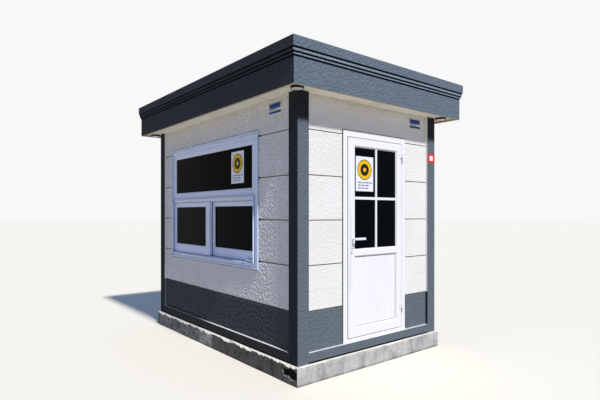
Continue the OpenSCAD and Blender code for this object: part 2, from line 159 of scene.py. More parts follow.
class Recipe:
    """The nodes of a material or a world in the making."""

    def __init__(self, tree: bpy.types.NodeTree) -> None:
        """Starts on a node tree."""
        self.tree = tree

    @cached_property
    def shader(self) -> bpy.types.Node:
        """The material's Principled shader."""
        return self.tree.nodes["Principled BSDF"]

    @cached_property
    def place(self) -> bpy.types.NodeSocket:
        """Where a point lies, in metres."""
        return self.add("TexCoord").outputs["Object"]

    @cached_property
    def axes(self) -> bpy.types.NodeOutputs:
        """The X, Y and Z of a point's place."""
        return self.add("SeparateXYZ", links={0: self.place}).outputs

    @cached_property
    def facing(self) -> bpy.types.NodeOutputs:
        """The X, Y and Z of the way in which a face looks."""
        return self.add("SeparateXYZ", links={0: self.add("NewGeometry").outputs["True Normal"]}).outputs

    def add(self, kind: str, settings: dict | None = None, links: dict | None = None) -> bpy.types.Node:
        """Adds a node with its settings and links, which are given as for fit.

        Args:
            kind: the node's type, less its first word ShaderNode.
            settings: its values.
            links: what feeds it.

        Returns:
            The new node.
        """
        return self.fit(self.tree.nodes.new("ShaderNode" + kind), settings, links)

    def fit(self, node: bpy.types.Node, settings: dict | None, links: dict | None) -> bpy.types.Node:
        """Sets a node's values and links its inputs.

        Args:
            node: the node.
            settings: values by property name, or by the name or number of an input.
            links: by the name or number of an input, the socket that feeds it, or the node whose first
                output does.

        Returns:
            The same node.
        """
        for key, value in (settings or {}).items():
            if isinstance(key, str) and key in node.bl_rna.properties:
                setattr(node, key, value)
            else:
                node.inputs[key].default_value = value
        for key, source in (links or {}).items():
            socket = source.outputs[0] if isinstance(source, bpy.types.Node) else source
            self.tree.links.new(socket, node.inputs[key])
        return node

    def where(self, *tests: Source | tuple[Source, str, float] | None) -> Source:
        """Marks where all of some tests hold, as the product of their shares.

        Args:
            tests: each a share from 0 to 1, or a value with the comparison and the limit that it has to
                meet, or None, which says nothing.

        Returns:
            The share from 0 to 1.
        """
        shares = [
            self.add("Math", {"operation": test[1], 1: test[2]}, {0: test[0]}) if isinstance(test, tuple) else test
            for test in tests if test is not None
        ]
        return reduce(lambda one, other: self.add("Math", {"operation": "MULTIPLY"}, {0: one, 1: other}), shares)

    def lay(self, base: str, layers: Iterable[tuple[Source, str]]) -> bpy.types.NodeSocket:
        """Lays colours over a base colour, one after another.

        Args:
            base: hex code of the colour that they lie on.
            layers: the share and the hex code of each colour.

        Returns:
            The colour that results.
        """
        links = {}
        for share, code in layers:
            colours = {"data_type": "RGBA", 6: linear(base), 7: linear(code)}
            links = {6: self.add("Mix", colours, {0: share, **links}).outputs[2]}
        return links[6]


@dataclass(frozen=True)
class Finish:
    """A surface finish, which makes its material once."""

    name: str

    def material(self) -> bpy.types.Material:
        """Gives the finish's material.

        Returns:
            The material, with its nodes.
        """
        made = bpy.data.materials.get(self.name)
        if made is None:
            made = bpy.data.materials.new(self.name)
            made.use_nodes = True
            self.paint(Recipe(made.node_tree))
        return made

    def paint(self, recipe: Recipe) -> None:
        """Builds the finish's nodes in a recipe."""
        raise NotImplementedError


@dataclass(frozen=True)
class TrowelledCoat(Finish):
    """Acrylic render, spread by trowel: matt, with short curved ridges and a sandy grit.

    A mark whose colour is None, such as the dado, is left out of the coat.
    """

    colour: str
    shade: str
    dado: str | None = None
    dado_top: float = 0.63
    groove: str | None = None
    groove_pitch: float = 0.409
    groove_half: float = 0.0045
    soffit: float = 2.59
    stain: str | None = None
    stain_depth: float = 0.11
    stain_mm: float = 22.0
    inner: str | None = None
    inner_reach: Point = (0.93, 1.43)
    inner_from: float = -1.0
    room_reach: Point = (0.93, 1.43)
    dust: str | None = None
    lit_flank: str | None = None
    shaded_flank: str = "#c2bdb3"
    dado_lit_flank: str = "#6a6e72"
    flank_share: float = 0.8
    under: str | None = None
    under_top: float = 2.6
    sunlit: str | None = None
    sunlit_top: float = 2.33
    sunlit_blur: float = 0.04
    lit_strips: Point | None = None
    strip_highlight: str = "#8796a3"
    front_share: float = 1.0
    sweep_mm: float = 150.0
    bend: float = 0.35
    ridge_mm: float = 20.0
    grit_mm: float = 4.5
    mottle_mm: float = 420.0
    relief_mm: float = 5.0
    stretch: float = 2.0
    rise_deg: float = 32.0

    def paint(self, recipe: Recipe) -> None:
        """Builds the coat's mottled colour, the marks that lie over it, and its trowelled relief.

        Args:
            recipe: the recipe that the nodes go into.
        """
        level, facing = recipe.axes["Z"], recipe.facing
        front = recipe.where((facing["Y"], "LESS_THAN", -0.7))
        mottle = recipe.add(
            "TexNoise", {"Scale": per_metre(self.mottle_mm), "Detail": 4.0, "Roughness": 0.6},
            {"Vector": recipe.place},
        )
        layers = [(recipe.add("MapRange", {"From Min": 0.35, "From Max": 0.7}, {"Value": mottle}), self.shade)]
        covered = bare = None
        if self.stain:
            layers.append((self.stained(recipe), self.stain))
        if self.dado:
            covered = recipe.where((level, "LESS_THAN", self.dado_top))
            bare = recipe.add("Math", {"operation": "SUBTRACT", 0: 1.0}, {1: covered})
            layers.append((covered, self.dado))
        # Paints the front faces in the lighter sunlit colour, up to the line of the roof's shadow
        if self.sunlit:
            limits = {"From Min": self.sunlit_top + self.sunlit_blur, "From Max": self.sunlit_top - self.sunlit_blur}
            lit = recipe.add("MapRange", limits, {"Value": level})
            layers.append((recipe.where(front, lit, covered), self.sunlit))
        # Paints a highlight on the front faces between two heights, where the fascia's strips catch the sun
        if self.lit_strips:
            low, high = self.lit_strips
            band = recipe.where((level, "GREATER_THAN", low), (level, "LESS_THAN", high), front)
            layers.append((band, self.strip_highlight))
        if self.groove:
            layers.append((self.grooved(recipe), self.groove))
        # Paints light and shade on the flanks of the ridges, by the way they face
        if self.lit_flank:
            layers += self.lit_and_shaded_flanks(recipe, bare, covered)
        if self.dust:
            # Pale dust on a ledge, painted thinner from the front of the booth to its middle, so that it also stands
            # for sunlight near the front and shade behind
            settled = recipe.add(
                "MapRange", {"From Min": 0.45, "From Max": 0.05, "To Min": 0.12}, {"Value": recipe.axes["Y"]}
            )
            layers.append((recipe.where((facing["Z"], "GREATER_THAN", 0.9), settled), self.dust))
        if self.under:
            underside = recipe.where((facing["Z"], "LESS_THAN", -0.9), (level, "LESS_THAN", self.under_top))
            layers.append((underside, self.under))
        height = self.relief(recipe)
        if self.front_share < 1.0:
            calmed = {"Value": recipe.where(front, bare)}
            height = recipe.where(
                height, recipe.add("MapRange", {"To Min": 1.0, "To Max": self.front_share}, calmed)
            )
        if self.inner:
            inside = self.inside(recipe)
            layers.append((inside, self.inner))
            height = recipe.where(height, recipe.add("Math", {"operation": "SUBTRACT", 0: 1.0}, {1: inside}))
        bump = recipe.add("Bump", {"Distance": self.relief_mm * MM, "Strength": 1.0}, {"Height": height})
        recipe.fit(
            recipe.shader, {"Roughness": 0.9, "Specular IOR Level": 0.04},
            {"Base Color": recipe.lay(self.colour, layers), "Normal": bump},
        )

    def relief(self, recipe: Recipe) -> Source:
        """Builds the ridges that the trowel leaves, bent along its sweeps, with grit between them.

        Args:
            recipe: the recipe that the nodes go into.

        Returns:
            The height of the relief.
        """
        sweep = recipe.add(
            "TexNoise", {"Scale": per_metre(self.sweep_mm), "Detail": 1.0}, {"Vector": recipe.place}
        )
        bent = recipe.add(
            "VectorMath", {"operation": "MULTIPLY_ADD", 1: (self.sweep_mm * MM * self.bend,) * 3},
            {0: sweep.outputs["Color"], 2: recipe.place},
        )
        rotation = (0.0, -math.radians(self.rise_deg), math.radians(45))
        turned = recipe.add(
            "Mapping", {"vector_type": "TEXTURE", "Rotation": rotation, "Scale": (self.stretch, 1.0, 1.0)},
            {"Vector": bent},
        )
        ridges = recipe.add(
            "TexNoise", {"Scale": per_metre(self.ridge_mm), "Detail": 3.0, "Roughness": 0.5}, {"Vector": turned}
        )
        pressed = recipe.add(
            "MapRange", {"interpolation_type": "SMOOTHSTEP", "From Min": 0.38, "From Max": 0.62},
            {"Value": ridges},
        )
        grit = recipe.add(
            "TexNoise", {"Scale": per_metre(self.grit_mm), "Detail": 1.0}, {"Vector": recipe.place}
        )
        return recipe.add("Math", {"operation": "MULTIPLY_ADD", 1: 0.25}, {0: grit, 2: pressed})

    def stained(self, recipe: Recipe) -> Source:
        """Marks the speckled stains that lie under the roof.

        Args:
            recipe: the recipe that the nodes go into.

        Returns:
            Their share of the surface.
        """
        rise = recipe.add(
            "MapRange", {"From Min": self.soffit - self.stain_depth, "From Max": self.soffit, "To Max": 0.4},
            {"Value": recipe.axes["Z"]},
        )
        specks = recipe.add(
            "TexNoise", {"Scale": per_metre(self.stain_mm), "Detail": 3.0, "Roughness": 0.6},
            {"Vector": recipe.place},
        )
        both = recipe.add("Math", {"operation": "ADD"}, {0: rise, 1: specks})
        return recipe.add("MapRange", {"From Min": 0.66, "From Max": 1.0, "To Max": 0.6}, {"Value": both})

    def grooved(self, recipe: Recipe) -> Source:
        """Marks the level grooves, which hold dirt.

        Args:
            recipe: the recipe that the nodes go into.

        Returns:
            Their share of the surface.
        """
        rise = recipe.add("Math", {"operation": "SUBTRACT", 1: self.dado_top}, {0: recipe.axes["Z"]})
        gap = recipe.add("Math", {"operation": "PINGPONG", 1: self.groove_pitch / 2}, {0: rise})
        return recipe.where((gap, "LESS_THAN", self.groove_half))

    def lit_and_shaded_flanks(self, recipe: Recipe, bare: Source, covered: Source) -> list[tuple[Source, str]]:
        """Paints light on the flanks of the ridges that look up and shade on those that look down.

        Args:
            recipe: the recipe that the nodes go into.
            bare: share of the wall above the dado.
            covered: share of the dado.

        Returns:
            The share and the colour of each layer.
        """
        layers = []
        for start, end, upper, lower in (
            (-0.05, -0.5, self.shaded_flank, self.dado), (0.05, 0.4, self.lit_flank, self.dado_lit_flank),
        ):
            limits = {"From Min": start, "From Max": end, "To Max": self.flank_share}
            flank = recipe.add("MapRange", limits, {"Value": recipe.facing["Z"]})
            layers += [(recipe.where(flank, bare), upper), (recipe.where(flank, covered), lower)]
        return layers

    def inside(self, recipe: Recipe) -> Source:
        """Marks what lies within the inner reach above the inner height, and all that lies in the room.

        Args:
            recipe: the recipe that the nodes go into.

        Returns:
            Its share of the surface.
        """
        sizes = [recipe.add("Math", {"operation": "ABSOLUTE"}, {0: recipe.axes[axis]}) for axis in "XY"]
        near, room = (
            [(size, "LESS_THAN", limit) for size, limit in zip(sizes, reach)]
            for reach in (self.inner_reach, self.room_reach)
        )
        above = (recipe.axes["Z"], "GREATER_THAN", self.inner_from)
        return recipe.add(
            "Math", {"operation": "MAXIMUM"}, {0: recipe.where(above, *near), 1: recipe.where(*room)}
        )


@dataclass(frozen=True)
class CastConcrete(Finish):
    """Concrete cast on site: dull, stained by rain, with pits and sand specks, darkest on the left side."""

    colour: str = "#cecbc7"
    stain: str = "#95928c"
    soil: str = "#5d574d"
    worn_and_sunlit_top: str = "#fff5e2"
    worn_and_sunlit_from: float = 0.125
    left_side_tone: str = "#6f6c67"
    left_side_far_tone: str = "#8f8f8e"
    patch: str = "#c4c2bf"
    patch_from: float = 0.0
    patch_to: float = 0.29
    left_side_blotch: str = "#3d3a36"
    crack: str = "#1f1c19"
    broken: str = "#3b3226"
    broken_reach: Point = (0.9, 1.016)
    broken_top: float = 0.142
    broken_run: Point = (-1.514, -1.2)
    speck_mm: float = 5.0
    pit_mm: float = 16.0
    pit_depth_mm: float = 4.0
    cloud_mm: float = 170.0
    blotch_mm: float = 70.0
    drip_mm: float = 60.0
    drip_stretch: float = 0.18
    crack_mm: float = 330.0
    crack_bend_mm: float = 90.0
    soil_height: float = 0.03

    def paint(self, recipe: Recipe) -> None:
        """Builds the stained colour and a pitted relief.

        Args:
            recipe: the recipe that the nodes go into.
        """
        place = {"Vector": recipe.place}
        across, along, level = (recipe.axes[axis] for axis in "XYZ")
        cloud = recipe.add("TexNoise", {"Scale": per_metre(self.cloud_mm), "Detail": 7.0, "Roughness": 0.68}, place)
        spread = recipe.add("MapRange", {"From Min": 0.42, "From Max": 0.72}, {"Value": cloud})
        drawn = recipe.add("Mapping", {"Scale": (1.0, 1.0, self.drip_stretch)}, place)
        drips = recipe.add(
            "TexNoise", {"Scale": per_metre(self.drip_mm), "Detail": 4.0, "Roughness": 0.6}, {"Vector": drawn}
        )
        runs = recipe.add("MapRange", {"From Min": 0.5, "From Max": 0.75, "To Max": 0.45}, {"Value": drips})
        top = recipe.add("MapRange", {"From Min": 0.3, "From Max": 0.6}, {"Value": recipe.facing["Z"]})
        left = recipe.add("MapRange", {"From Min": -0.45, "From Max": -0.7}, {"Value": recipe.facing["X"]})
        blotches = recipe.add(
            "TexNoise", {"Scale": per_metre(self.blotch_mm), "Detail": 8.0, "Roughness": 0.72}, place
        )
        blotch = recipe.add("MapRange", {"From Min": 0.48, "From Max": 0.64, "To Max": 0.8}, {"Value": blotches})
        bent = recipe.add(
            "VectorMath", {"operation": "MULTIPLY_ADD", 1: (self.crack_bend_mm * MM,) * 3},
            {0: blotches.outputs["Color"], 2: recipe.place},
        )
        cells = recipe.add(
            "TexVoronoi", {"feature": "DISTANCE_TO_EDGE", "Scale": per_metre(self.crack_mm)}, {"Vector": bent}
        )
        split = recipe.add(
            "MapRange", {"From Min": 0.014, "From Max": 0.004, "To Max": 0.85}, {"Value": cells.outputs["Distance"]}
        )
        broken = recipe.where(
            (across, "GREATER_THAN", -self.broken_reach[1]), (across, "LESS_THAN", -self.broken_reach[0]),
            (along, "GREATER_THAN", self.broken_run[0]), (along, "LESS_THAN", self.broken_run[1]),
            (level, "LESS_THAN", self.broken_top),
        )
        ragged = recipe.add("Math", {"operation": "MULTIPLY_ADD", 1: -1.6 * self.soil_height}, {0: cloud, 2: level})
        foot_limits = {"From Min": -0.9 * self.soil_height, "From Max": 0.1 * self.soil_height}
        foot = recipe.add("MapRange", foot_limits | {"To Min": 0.75, "To Max": 0.0}, {"Value": ragged})
        # The left side is painted darker than the front, in tones that change along its run, with blotches and cracks
        layers = [
            (spread, self.stain), (left, self.left_side_tone),
            (recipe.where(left, (along, "GREATER_THAN", self.patch_from)), self.patch),
            (recipe.where(left, (along, "GREATER_THAN", self.patch_to)), self.left_side_far_tone),
            (recipe.where(blotch, left), self.left_side_blotch), (runs, self.soil),
            # The tops of the upper edge are painted near white, partly as wear and partly as sunlight on the lip
            (recipe.where(top, (level, "GREATER_THAN", self.worn_and_sunlit_from)), self.worn_and_sunlit_top),
            (recipe.where(split, left), self.crack), (broken, self.broken), (foot, self.soil),
        ]
        specks = recipe.add("TexNoise", {"Scale": per_metre(self.speck_mm), "Detail": 3.0}, place)
        pits = recipe.add("TexVoronoi", {"Scale": per_metre(self.pit_mm)}, place)
        holes = recipe.add(
            "MapRange", {"From Min": 0.05, "From Max": 0.3}, {"Value": pits.outputs["Distance"]}
        )
        relief = recipe.add("Math", {"operation": "MULTIPLY_ADD", 1: 0.8}, {0: specks, 2: holes})
        bump = recipe.add("Bump", {"Distance": self.pit_depth_mm * MM, "Strength": 1.0}, {"Height": relief})
        recipe.fit(
            recipe.shader, {"Roughness": 0.92, "Specular IOR Level": 0.1},
            {"Base Color": recipe.lay(self.colour, layers), "Normal": bump},
        )


@dataclass(frozen=True)
class ExtrudedPlastic(Finish):
    """Rigid PVC, drawn through a die: white and half glossy, with faint lines, settled dust and painted shade in its
    corners.
    """

    colour: str
    dust: str
    corner_shade: str
    corner_shade_mm: float = 14.0
    dust_mm: float = 300.0
    line_mm: float = 7.0
    line_depth_mm: float = 0.08
    roughness: float = 0.3

    def paint(self, recipe: Recipe) -> None:
        """Builds the dusty white, the uneven gloss and the faint waviness of the profile.

        Args:
            recipe: the recipe that the nodes go into.
        """
        place = {"Vector": recipe.place}
        cloud = recipe.add("TexNoise", {"Scale": per_metre(self.dust_mm), "Detail": 5.0, "Roughness": 0.6}, place)
        settled = recipe.add("MapRange", {"From Min": 0.5, "From Max": 0.8, "To Max": 0.5}, {"Value": cloud})
        # Paints shade into the corners that an occlusion test finds
        corner = recipe.add("AmbientOcclusion", {"samples": 6, "Distance": self.corner_shade_mm * MM})
        corner_shade_share = recipe.add(
            "MapRange", {"From Min": 0.8, "From Max": 0.4, "To Max": 0.85}, {"Value": corner.outputs["AO"]}
        )
        gloss_limits = {"To Min": self.roughness - 0.05, "To Max": self.roughness + 0.2}
        gloss = recipe.add("MapRange", {"From Min": 0.3, "From Max": 0.8} | gloss_limits, {"Value": cloud})
        waves = recipe.add("TexNoise", {"Scale": per_metre(self.line_mm), "Detail": 1.0}, place)
        bump = recipe.add("Bump", {"Distance": self.line_depth_mm * MM, "Strength": 0.5}, {"Height": waves})
        colour = recipe.lay(self.colour, [(settled, self.dust), (corner_shade_share, self.corner_shade)])
        recipe.fit(
            recipe.shader, {"IOR": 1.53, "Specular IOR Level": 0.3},
            {"Base Color": colour, "Roughness": gloss, "Normal": bump},
        )


@dataclass(frozen=True)
class SealedGlass(Finish):
    """Float glass in a sealed unit: dark against the unlit room, mirror smooth, with a film of dust."""

    colour: str
    clearness: float
    gleam: float
    dust_mm: float = 130.0

    def paint(self, recipe: Recipe) -> None:
        """Builds the dark pane, with dust that dulls its gloss in patches.

        Args:
            recipe: the recipe that the nodes go into.
        """
        film = recipe.add(
            "TexNoise", {"Scale": per_metre(self.dust_mm), "Detail": 6.0, "Roughness": 0.7},
            {"Vector": recipe.place},
        )
        limits = {"From Min": 0.45, "From Max": 0.8, "To Min": 0.015, "To Max": 0.12}
        recipe.fit(
            recipe.shader,
            {"Base Color": linear(self.colour), "IOR": 1.5, "Specular IOR Level": self.gleam,
             "Alpha": 1 - self.clearness},
            {"Roughness": recipe.add("MapRange", limits, {"Value": film})},
        )


@dataclass(frozen=True)
class GalvanisedSteel(Finish):
    """Steel sheet dipped in zinc: grey metal with large dull crystals."""

    colour: str = "#94989a"
    dull: str = "#777b7e"
    crystal_mm: float = 18.0

    def paint(self, recipe: Recipe) -> None:
        """Builds the crystals, each with its own tone and gloss.

        Args:
            recipe: the recipe that the nodes go into.
        """
        crystals = recipe.add("TexVoronoi", {"Scale": per_metre(self.crystal_mm)}, {"Vector": recipe.place})
        tone = recipe.add("SeparateColor", links={0: crystals.outputs["Color"]}).outputs
        gloss = recipe.add("MapRange", {"To Min": 0.5, "To Max": 0.7}, {"Value": tone[1]})
        colour = recipe.lay(self.colour, [(tone[0], self.dull)])
        recipe.fit(recipe.shader, {"Metallic": 1.0}, {"Base Color": colour, "Roughness": gloss})


@dataclass(frozen=True)
class PaintedBoard(Finish):
    """Board painted by roller: flat off-white with a fine orange-peel nap and warm stains."""

    colour: str = "#fdf8ea"
    stain: str = "#efe3c8"
    nap_mm: float = 3.5
    nap_depth_mm: float = 0.4
    stain_mm: float = 240.0

    def paint(self, recipe: Recipe) -> None:
        """Builds the stained paint and its nap.

        Args:
            recipe: the recipe that the nodes go into.
        """
        place = {"Vector": recipe.place}
        cloud = recipe.add("TexNoise", {"Scale": per_metre(self.stain_mm), "Detail": 5.0, "Roughness": 0.6}, place)
        spread = recipe.add("MapRange", {"From Min": 0.45, "From Max": 0.75}, {"Value": cloud})
        nap = recipe.add("TexNoise", {"Scale": per_metre(self.nap_mm), "Detail": 2.0}, place)
        bump = recipe.add("Bump", {"Distance": self.nap_depth_mm * MM, "Strength": 0.6}, {"Height": nap})
        recipe.fit(
            recipe.shader, {"Roughness": 0.7, "Specular IOR Level": 0.25},
            {"Base Color": recipe.lay(self.colour, [(spread, self.stain)]), "Normal": bump},
        )


@dataclass(frozen=True)
class PlainStuff(Finish):
    """Small parts of one colour, moulded, pressed or printed, with an uneven gloss and a fine grain."""

    colour: str
    worn: str
    roughness: float
    metallic: float = 0.0
    ior: float = 1.5
    gleam: float = 0.35
    grain_mm: float = 2.0
    wear_mm: float = 30.0
    relief_mm: float = 0.1

    def paint(self, recipe: Recipe) -> None:
        """Builds the colour with patches of wear, and the grain.

        Args:
            recipe: the recipe that the nodes go into.
        """
        place = {"Vector": recipe.place}
        wear = recipe.add("TexNoise", {"Scale": per_metre(self.wear_mm), "Detail": 4.0}, place)
        spread = recipe.add("MapRange", {"From Min": 0.4, "From Max": 0.75}, {"Value": wear})
        limits = {"To Min": max(0.02, self.roughness - 0.08), "To Max": self.roughness + 0.12}
        gloss = recipe.add("MapRange", limits, {"Value": wear})
        grain = recipe.add("TexNoise", {"Scale": per_metre(self.grain_mm), "Detail": 1.0}, place)
        bump = recipe.add("Bump", {"Distance": self.relief_mm * MM, "Strength": 0.6}, {"Height": grain})
        recipe.fit(
            recipe.shader, {"Metallic": self.metallic, "IOR": self.ior, "Specular IOR Level": self.gleam},
            {"Base Color": recipe.lay(self.colour, [(spread, self.worn)]), "Roughness": gloss, "Normal": bump},
        )


@dataclass(frozen=True)
class VinylSheet(Finish):
    """Vinyl floor sheet: grey with fine chips of two tones, half matt, scuffed."""

    colour: str = "#86827a"
    chip: str = "#5f5c56"
    chip_mm: float = 9.0
    scuff_mm: float = 200.0

    def paint(self, recipe: Recipe) -> None:
        """Builds the chips and the scuffed gloss.

        Args:
            recipe: the recipe that the nodes go into.
        """
        place = {"Vector": recipe.place}
        chips = recipe.add("TexVoronoi", {"Scale": per_metre(self.chip_mm)}, place)
        tone = recipe.add("SeparateColor", links={0: chips.outputs["Color"]})
        scuffs = recipe.add("TexNoise", {"Scale": per_metre(self.scuff_mm), "Detail": 5.0}, place)
        gloss = recipe.add("MapRange", {"To Min": 0.35, "To Max": 0.7}, {"Value": scuffs})
        colour = recipe.lay(self.colour, [(tone, self.chip)])
        recipe.fit(recipe.shader, None, {"Base Color": colour, "Roughness": gloss})


# The dark grey coat as it looks in the shade, and the same coat painted lighter as it looks in the sun
ANTHRACITE = "#45494d"
SUNLIT_ANTHRACITE = "#6a747b"
CREAM = "#f3f0ea"
# Cream render on the panels: matt and sandy, darker below the lowest groove, the dado's front painted in the lighter
# sunlit grey, speckled by rain under the roof
WALL_COAT = TrowelledCoat(
    "cream_acrylic_render", CREAM, "#ece8e0", dado=ANTHRACITE, groove="#94835f", stain="#b8a684",
    inner="#dedad2", sunlit=SUNLIT_ANTHRACITE, front_share=0.35,
)
# The same render as real ridges, with painted light on the flanks that look up and painted shade on those that look
# down
RELIEF_COAT = TrowelledCoat(
    "cream_acrylic_render_ridges", CREAM, "#ece8e0", dado=ANTHRACITE, stain="#b8a684", relief_mm=0.8,
    ridge_mm=5.0, grit_mm=3.0, lit_flank="#ffffff",
)
# Dark grey render on the fascia: rough and matt, its front painted in a lighter sunlit grey with a painted highlight
# on its strips, cream paint behind and below
FASCIA_COAT = TrowelledCoat(
    "anthracite_acrylic_render", "#42454b", "#3d4046", inner="#cdbb98", inner_reach=(1.1715, 1.6715),
    under="#cdbb98", sunlit="#6e7a86", sunlit_top=9.0, lit_strips=(2.8048, 2.8664),
)
# Dark grey masonry paint on steel posts: the same grain, shallower, the fronts painted in the lighter sunlit grey
# below the roof's shadow
POST_COAT = TrowelledCoat(
    "anthracite_acrylic_paint_on_steel", "#33363a", "#2f3236", relief_mm=4.2, ridge_mm=16.0, inner=CREAM,
    inner_reach=(0.996, 1.496), inner_from=0.63, sunlit=SUNLIT_ANTHRACITE,
)
# The same paint on the base rails, its fronts painted in the sunlit grey; the pale dust on the ledge also stands for
# sunlight near the front
RAIL_COAT = TrowelledCoat(
    "anthracite_acrylic_paint_on_rails", "#403f3f", "#3a3a3a", relief_mm=4.2, ridge_mm=16.0, dust="#f0eee9",
    inner=CREAM, inner_reach=(0.96, 1.46), sunlit=SUNLIT_ANTHRACITE,
)
# Cast concrete in the rain: dull and blotched, with pits, sand and dark runs
CONCRETE = CastConcrete("weathered_concrete")
# Extruded PVC, the copy for the door in the sun: a warm white, with painted pale grey shade in its corners
DOOR_PVC = ExtrudedPlastic("extruded_white_pvc", "#f4f2f1", "#ebe9e6", "#8f8e90")
# Grooved PVC board: the same white, with painted shade that hardly darkens its grooves
BOARD_PVC = ExtrudedPlastic("grooved_white_pvc_board", "#f4f2f1", "#ebe9e6", "#dcdbda", corner_shade_mm=6.0)
# Extruded PVC, the copy for the window in the shade: white painted with a blue tint as the sky's reflection, and
# painted blue-grey shade in its corners
WINDOW_PVC = ExtrudedPlastic("extruded_white_pvc_painted_sky_tint", "#e2ebff", "#cfdaf0", "#3e4c7a", corner_shade_mm=22.0)
# Float glass: nearly black, with a soft gleam
GLASS = SealedGlass("float_glass_sealed_unit", "#04070d", clearness=0.03, gleam=0.015)
# Glass over the unlit room, darker still: black, with hardly a gleam
DARKER_GLASS = SealedGlass("darker_glass_sealed_unit", "#030303", clearness=0.02, gleam=0.01)
# Steel sheet dipped in zinc: a dull grey metal with large crystals
ZINC = GalvanisedSteel("galvanised_steel_sheet")
# Emulsion rolled on board: flat off-white with a fine nap
CEILING_PAINT = PaintedBoard("roller_painted_board")
# Calendered vinyl sheet: grey with fine chips, scuffed to a half gloss
FLOOR_VINYL = VinylSheet("vinyl_floor_sheet")
# Extruded rubber: matt and black
EPDM = PlainStuff("epdm_rubber_seal", "#1b1b1c", "#2c2c2d", 0.7, gleam=0.05)
# Extruded rubber, coloured grey: matt, and softer than black beside white; in the door's gaps and round its lower
# panel it also darkens the lines as painted shade
GREY_SEAL = PlainStuff("grey_rubber_seal", "#4c4c50", "#5c5c60", 0.7, gleam=0.05)
# Tooled silicone: near black and half matt
SILICONE = PlainStuff("near_black_silicone", "#1d1e21", "#2c2c2e", 0.5, wear_mm=60.0, gleam=0.05)
# Tooled silicone: brown and half matt, a real joint darkened as painted shade beside the door frame
DOOR_JOINT_SILICONE = PlainStuff("brown_silicone_painted_shade", "#57493a", "#6f604e", 0.5, gleam=0.05)
# A black and dull strip, a painted shadow in the gap under the base rails
GAP_SHADOW_BLACK = PlainStuff("black_gap_shadow_strip", "#08080a", "#0d0d0f", 0.8, gleam=0.05)
# A black that mirrors nothing, painted as the shade under the fascia's bands and in the grooves' open ends
BLACK_SHADE = PlainStuff("black_painted_shade", "#040506", "#0a0b0d", 0.9, gleam=0.05)
# Stoved enamel on pressed steel: black, with a soft gloss
BLACK_ENAMEL = PlainStuff("black_enamelled_steel", "#141516", "#1d1e1f", 0.35, gleam=0.15)
# Moulded acrylic: milky, with a soft gloss
OPAL = PlainStuff("opal_acrylic", "#e9e9e6", "#dcdad4", 0.35, ior=1.49, wear_mm=80.0)
# Baked powder coat: white, with a satin gloss and a fine orange peel
WHITE_POWDER = PlainStuff("white_powder_coat", "#f1f2f5", "#e6e7ea", 0.32, grain_mm=1.2, relief_mm=0.06)
# Nickel on turned brass: a warm grey mirror, dulled by keys
NICKEL = PlainStuff("nickel_plated_brass", "#a9a6a0", "#8f8c86", 0.25, metallic=1.0, wear_mm=12.0)
# Milled steel, oiled and dusty: dark and dull
KEYWAY = PlainStuff("dark_keyway_steel", "#101010", "#191919", 0.6, gleam=0.05)
# Zinc on pressed steel: a pale grey metal, spotted by rain
SCREW_ZINC = PlainStuff("zinc_plated_screw_steel", "#b4b5b3", "#8d8e8c", 0.4, metallic=1.0, wear_mm=8.0)
# Moulded plastic: pale grey and half matt
CAP_PLASTIC = PlainStuff("moulded_grey_cap_plastic", "#b9bcc4", "#a3a6ad", 0.5)
# Brushed and anodised aluminium: a silvery, soft gloss
ANODISED = PlainStuff("anodised_aluminium_plate", "#b9bcbd", "#a6a9aa", 0.38, metallic=1.0, wear_mm=40.0)
# Screen-printed ink: even blue, half glossy
BLUE_ENAMEL = PlainStuff("blue_screen_print", "#24468c", "#2c5096", 0.35, wear_mm=20.0, gleam=0.15)
# Stoved enamel on sheet: bright red and glossy
RED_ENAMEL = PlainStuff("red_enamel_plate", "#e0301f", "#d02a1c", 0.3, wear_mm=25.0, gleam=0.15)
# Screen-printed ink: white and half glossy
WHITE_PRINT = PlainStuff("white_screen_print", "#f4f4f4", "#e9e9e9", 0.4)
# Calendered vinyl film: a smooth cool white
CARD = PlainStuff("white_vinyl_film", "#f3f4f8", "#eaebef", 0.35, wear_mm=50.0)
# Ink printed on film: an even amber with the film's half gloss
AMBER_PRINT = PlainStuff("amber_print_on_film", "#f4c20c", "#efbb08", 0.4, gleam=0.15)
# The same ink in a middle grey
GREY_PRINT = PlainStuff("grey_print_on_film", "#6d7482", "#7b8290", 0.4, gleam=0.15)
# The same ink in a near black
DARK_PRINT = PlainStuff("dark_print_on_film", "#0b0d12", "#11141b", 0.4, gleam=0.15)


def placed(name: str, data: bpy.types.ID) -> bpy.types.Object:
    """Puts new data into the scene.

    Args:
        name: the object's name.
        data: its mesh, lamp or camera.

    Returns:
        The new object.
    """
    made = bpy.data.objects.new(name, data)
    bpy.context.scene.collection.objects.link(made)
    return made


def dress(nodes: Iterable[str], finish: Finish) -> None:
    """Gives CAD nodes a finish.

    Args:
        nodes: the nodes' names.
        finish: what they are finished with.
    """
    for name in nodes:
        mesh = bpy.data.objects[name].data
        mesh.materials.clear()
        mesh.materials.append(finish.material())


def round_arris(piece: bpy.types.Object, width_mm: float, segments: int) -> None:
    """Rounds the arrises of a piece a little, as the real ones are.

    Args:
        piece: the piece.
        width_mm: width of the rounding.
        segments: number of facets across it.
    """
    bevel = piece.modifiers.new("arris", "BEVEL")
    bevel.width = width_mm * MM
    bevel.segments = segments
    bevel.limit_method = "ANGLE"
    bevel.angle_limit = math.radians(35)
    bevel.harden_normals = True


def soften(nodes: Iterable[str], width_mm: float, segments: int = 2) -> None:
    """Joins the loose facets of CAD nodes and rounds their arrises.

    Args:
        nodes: the nodes' names.
        width_mm: width of the rounding.
        segments: number of facets across it.
    """
    for name in nodes:
        piece = bpy.data.objects[name]
        piece.modifiers.new("weld", "WELD").merge_threshold = 0.01 * MM
        round_arris(piece, width_mm, segments)


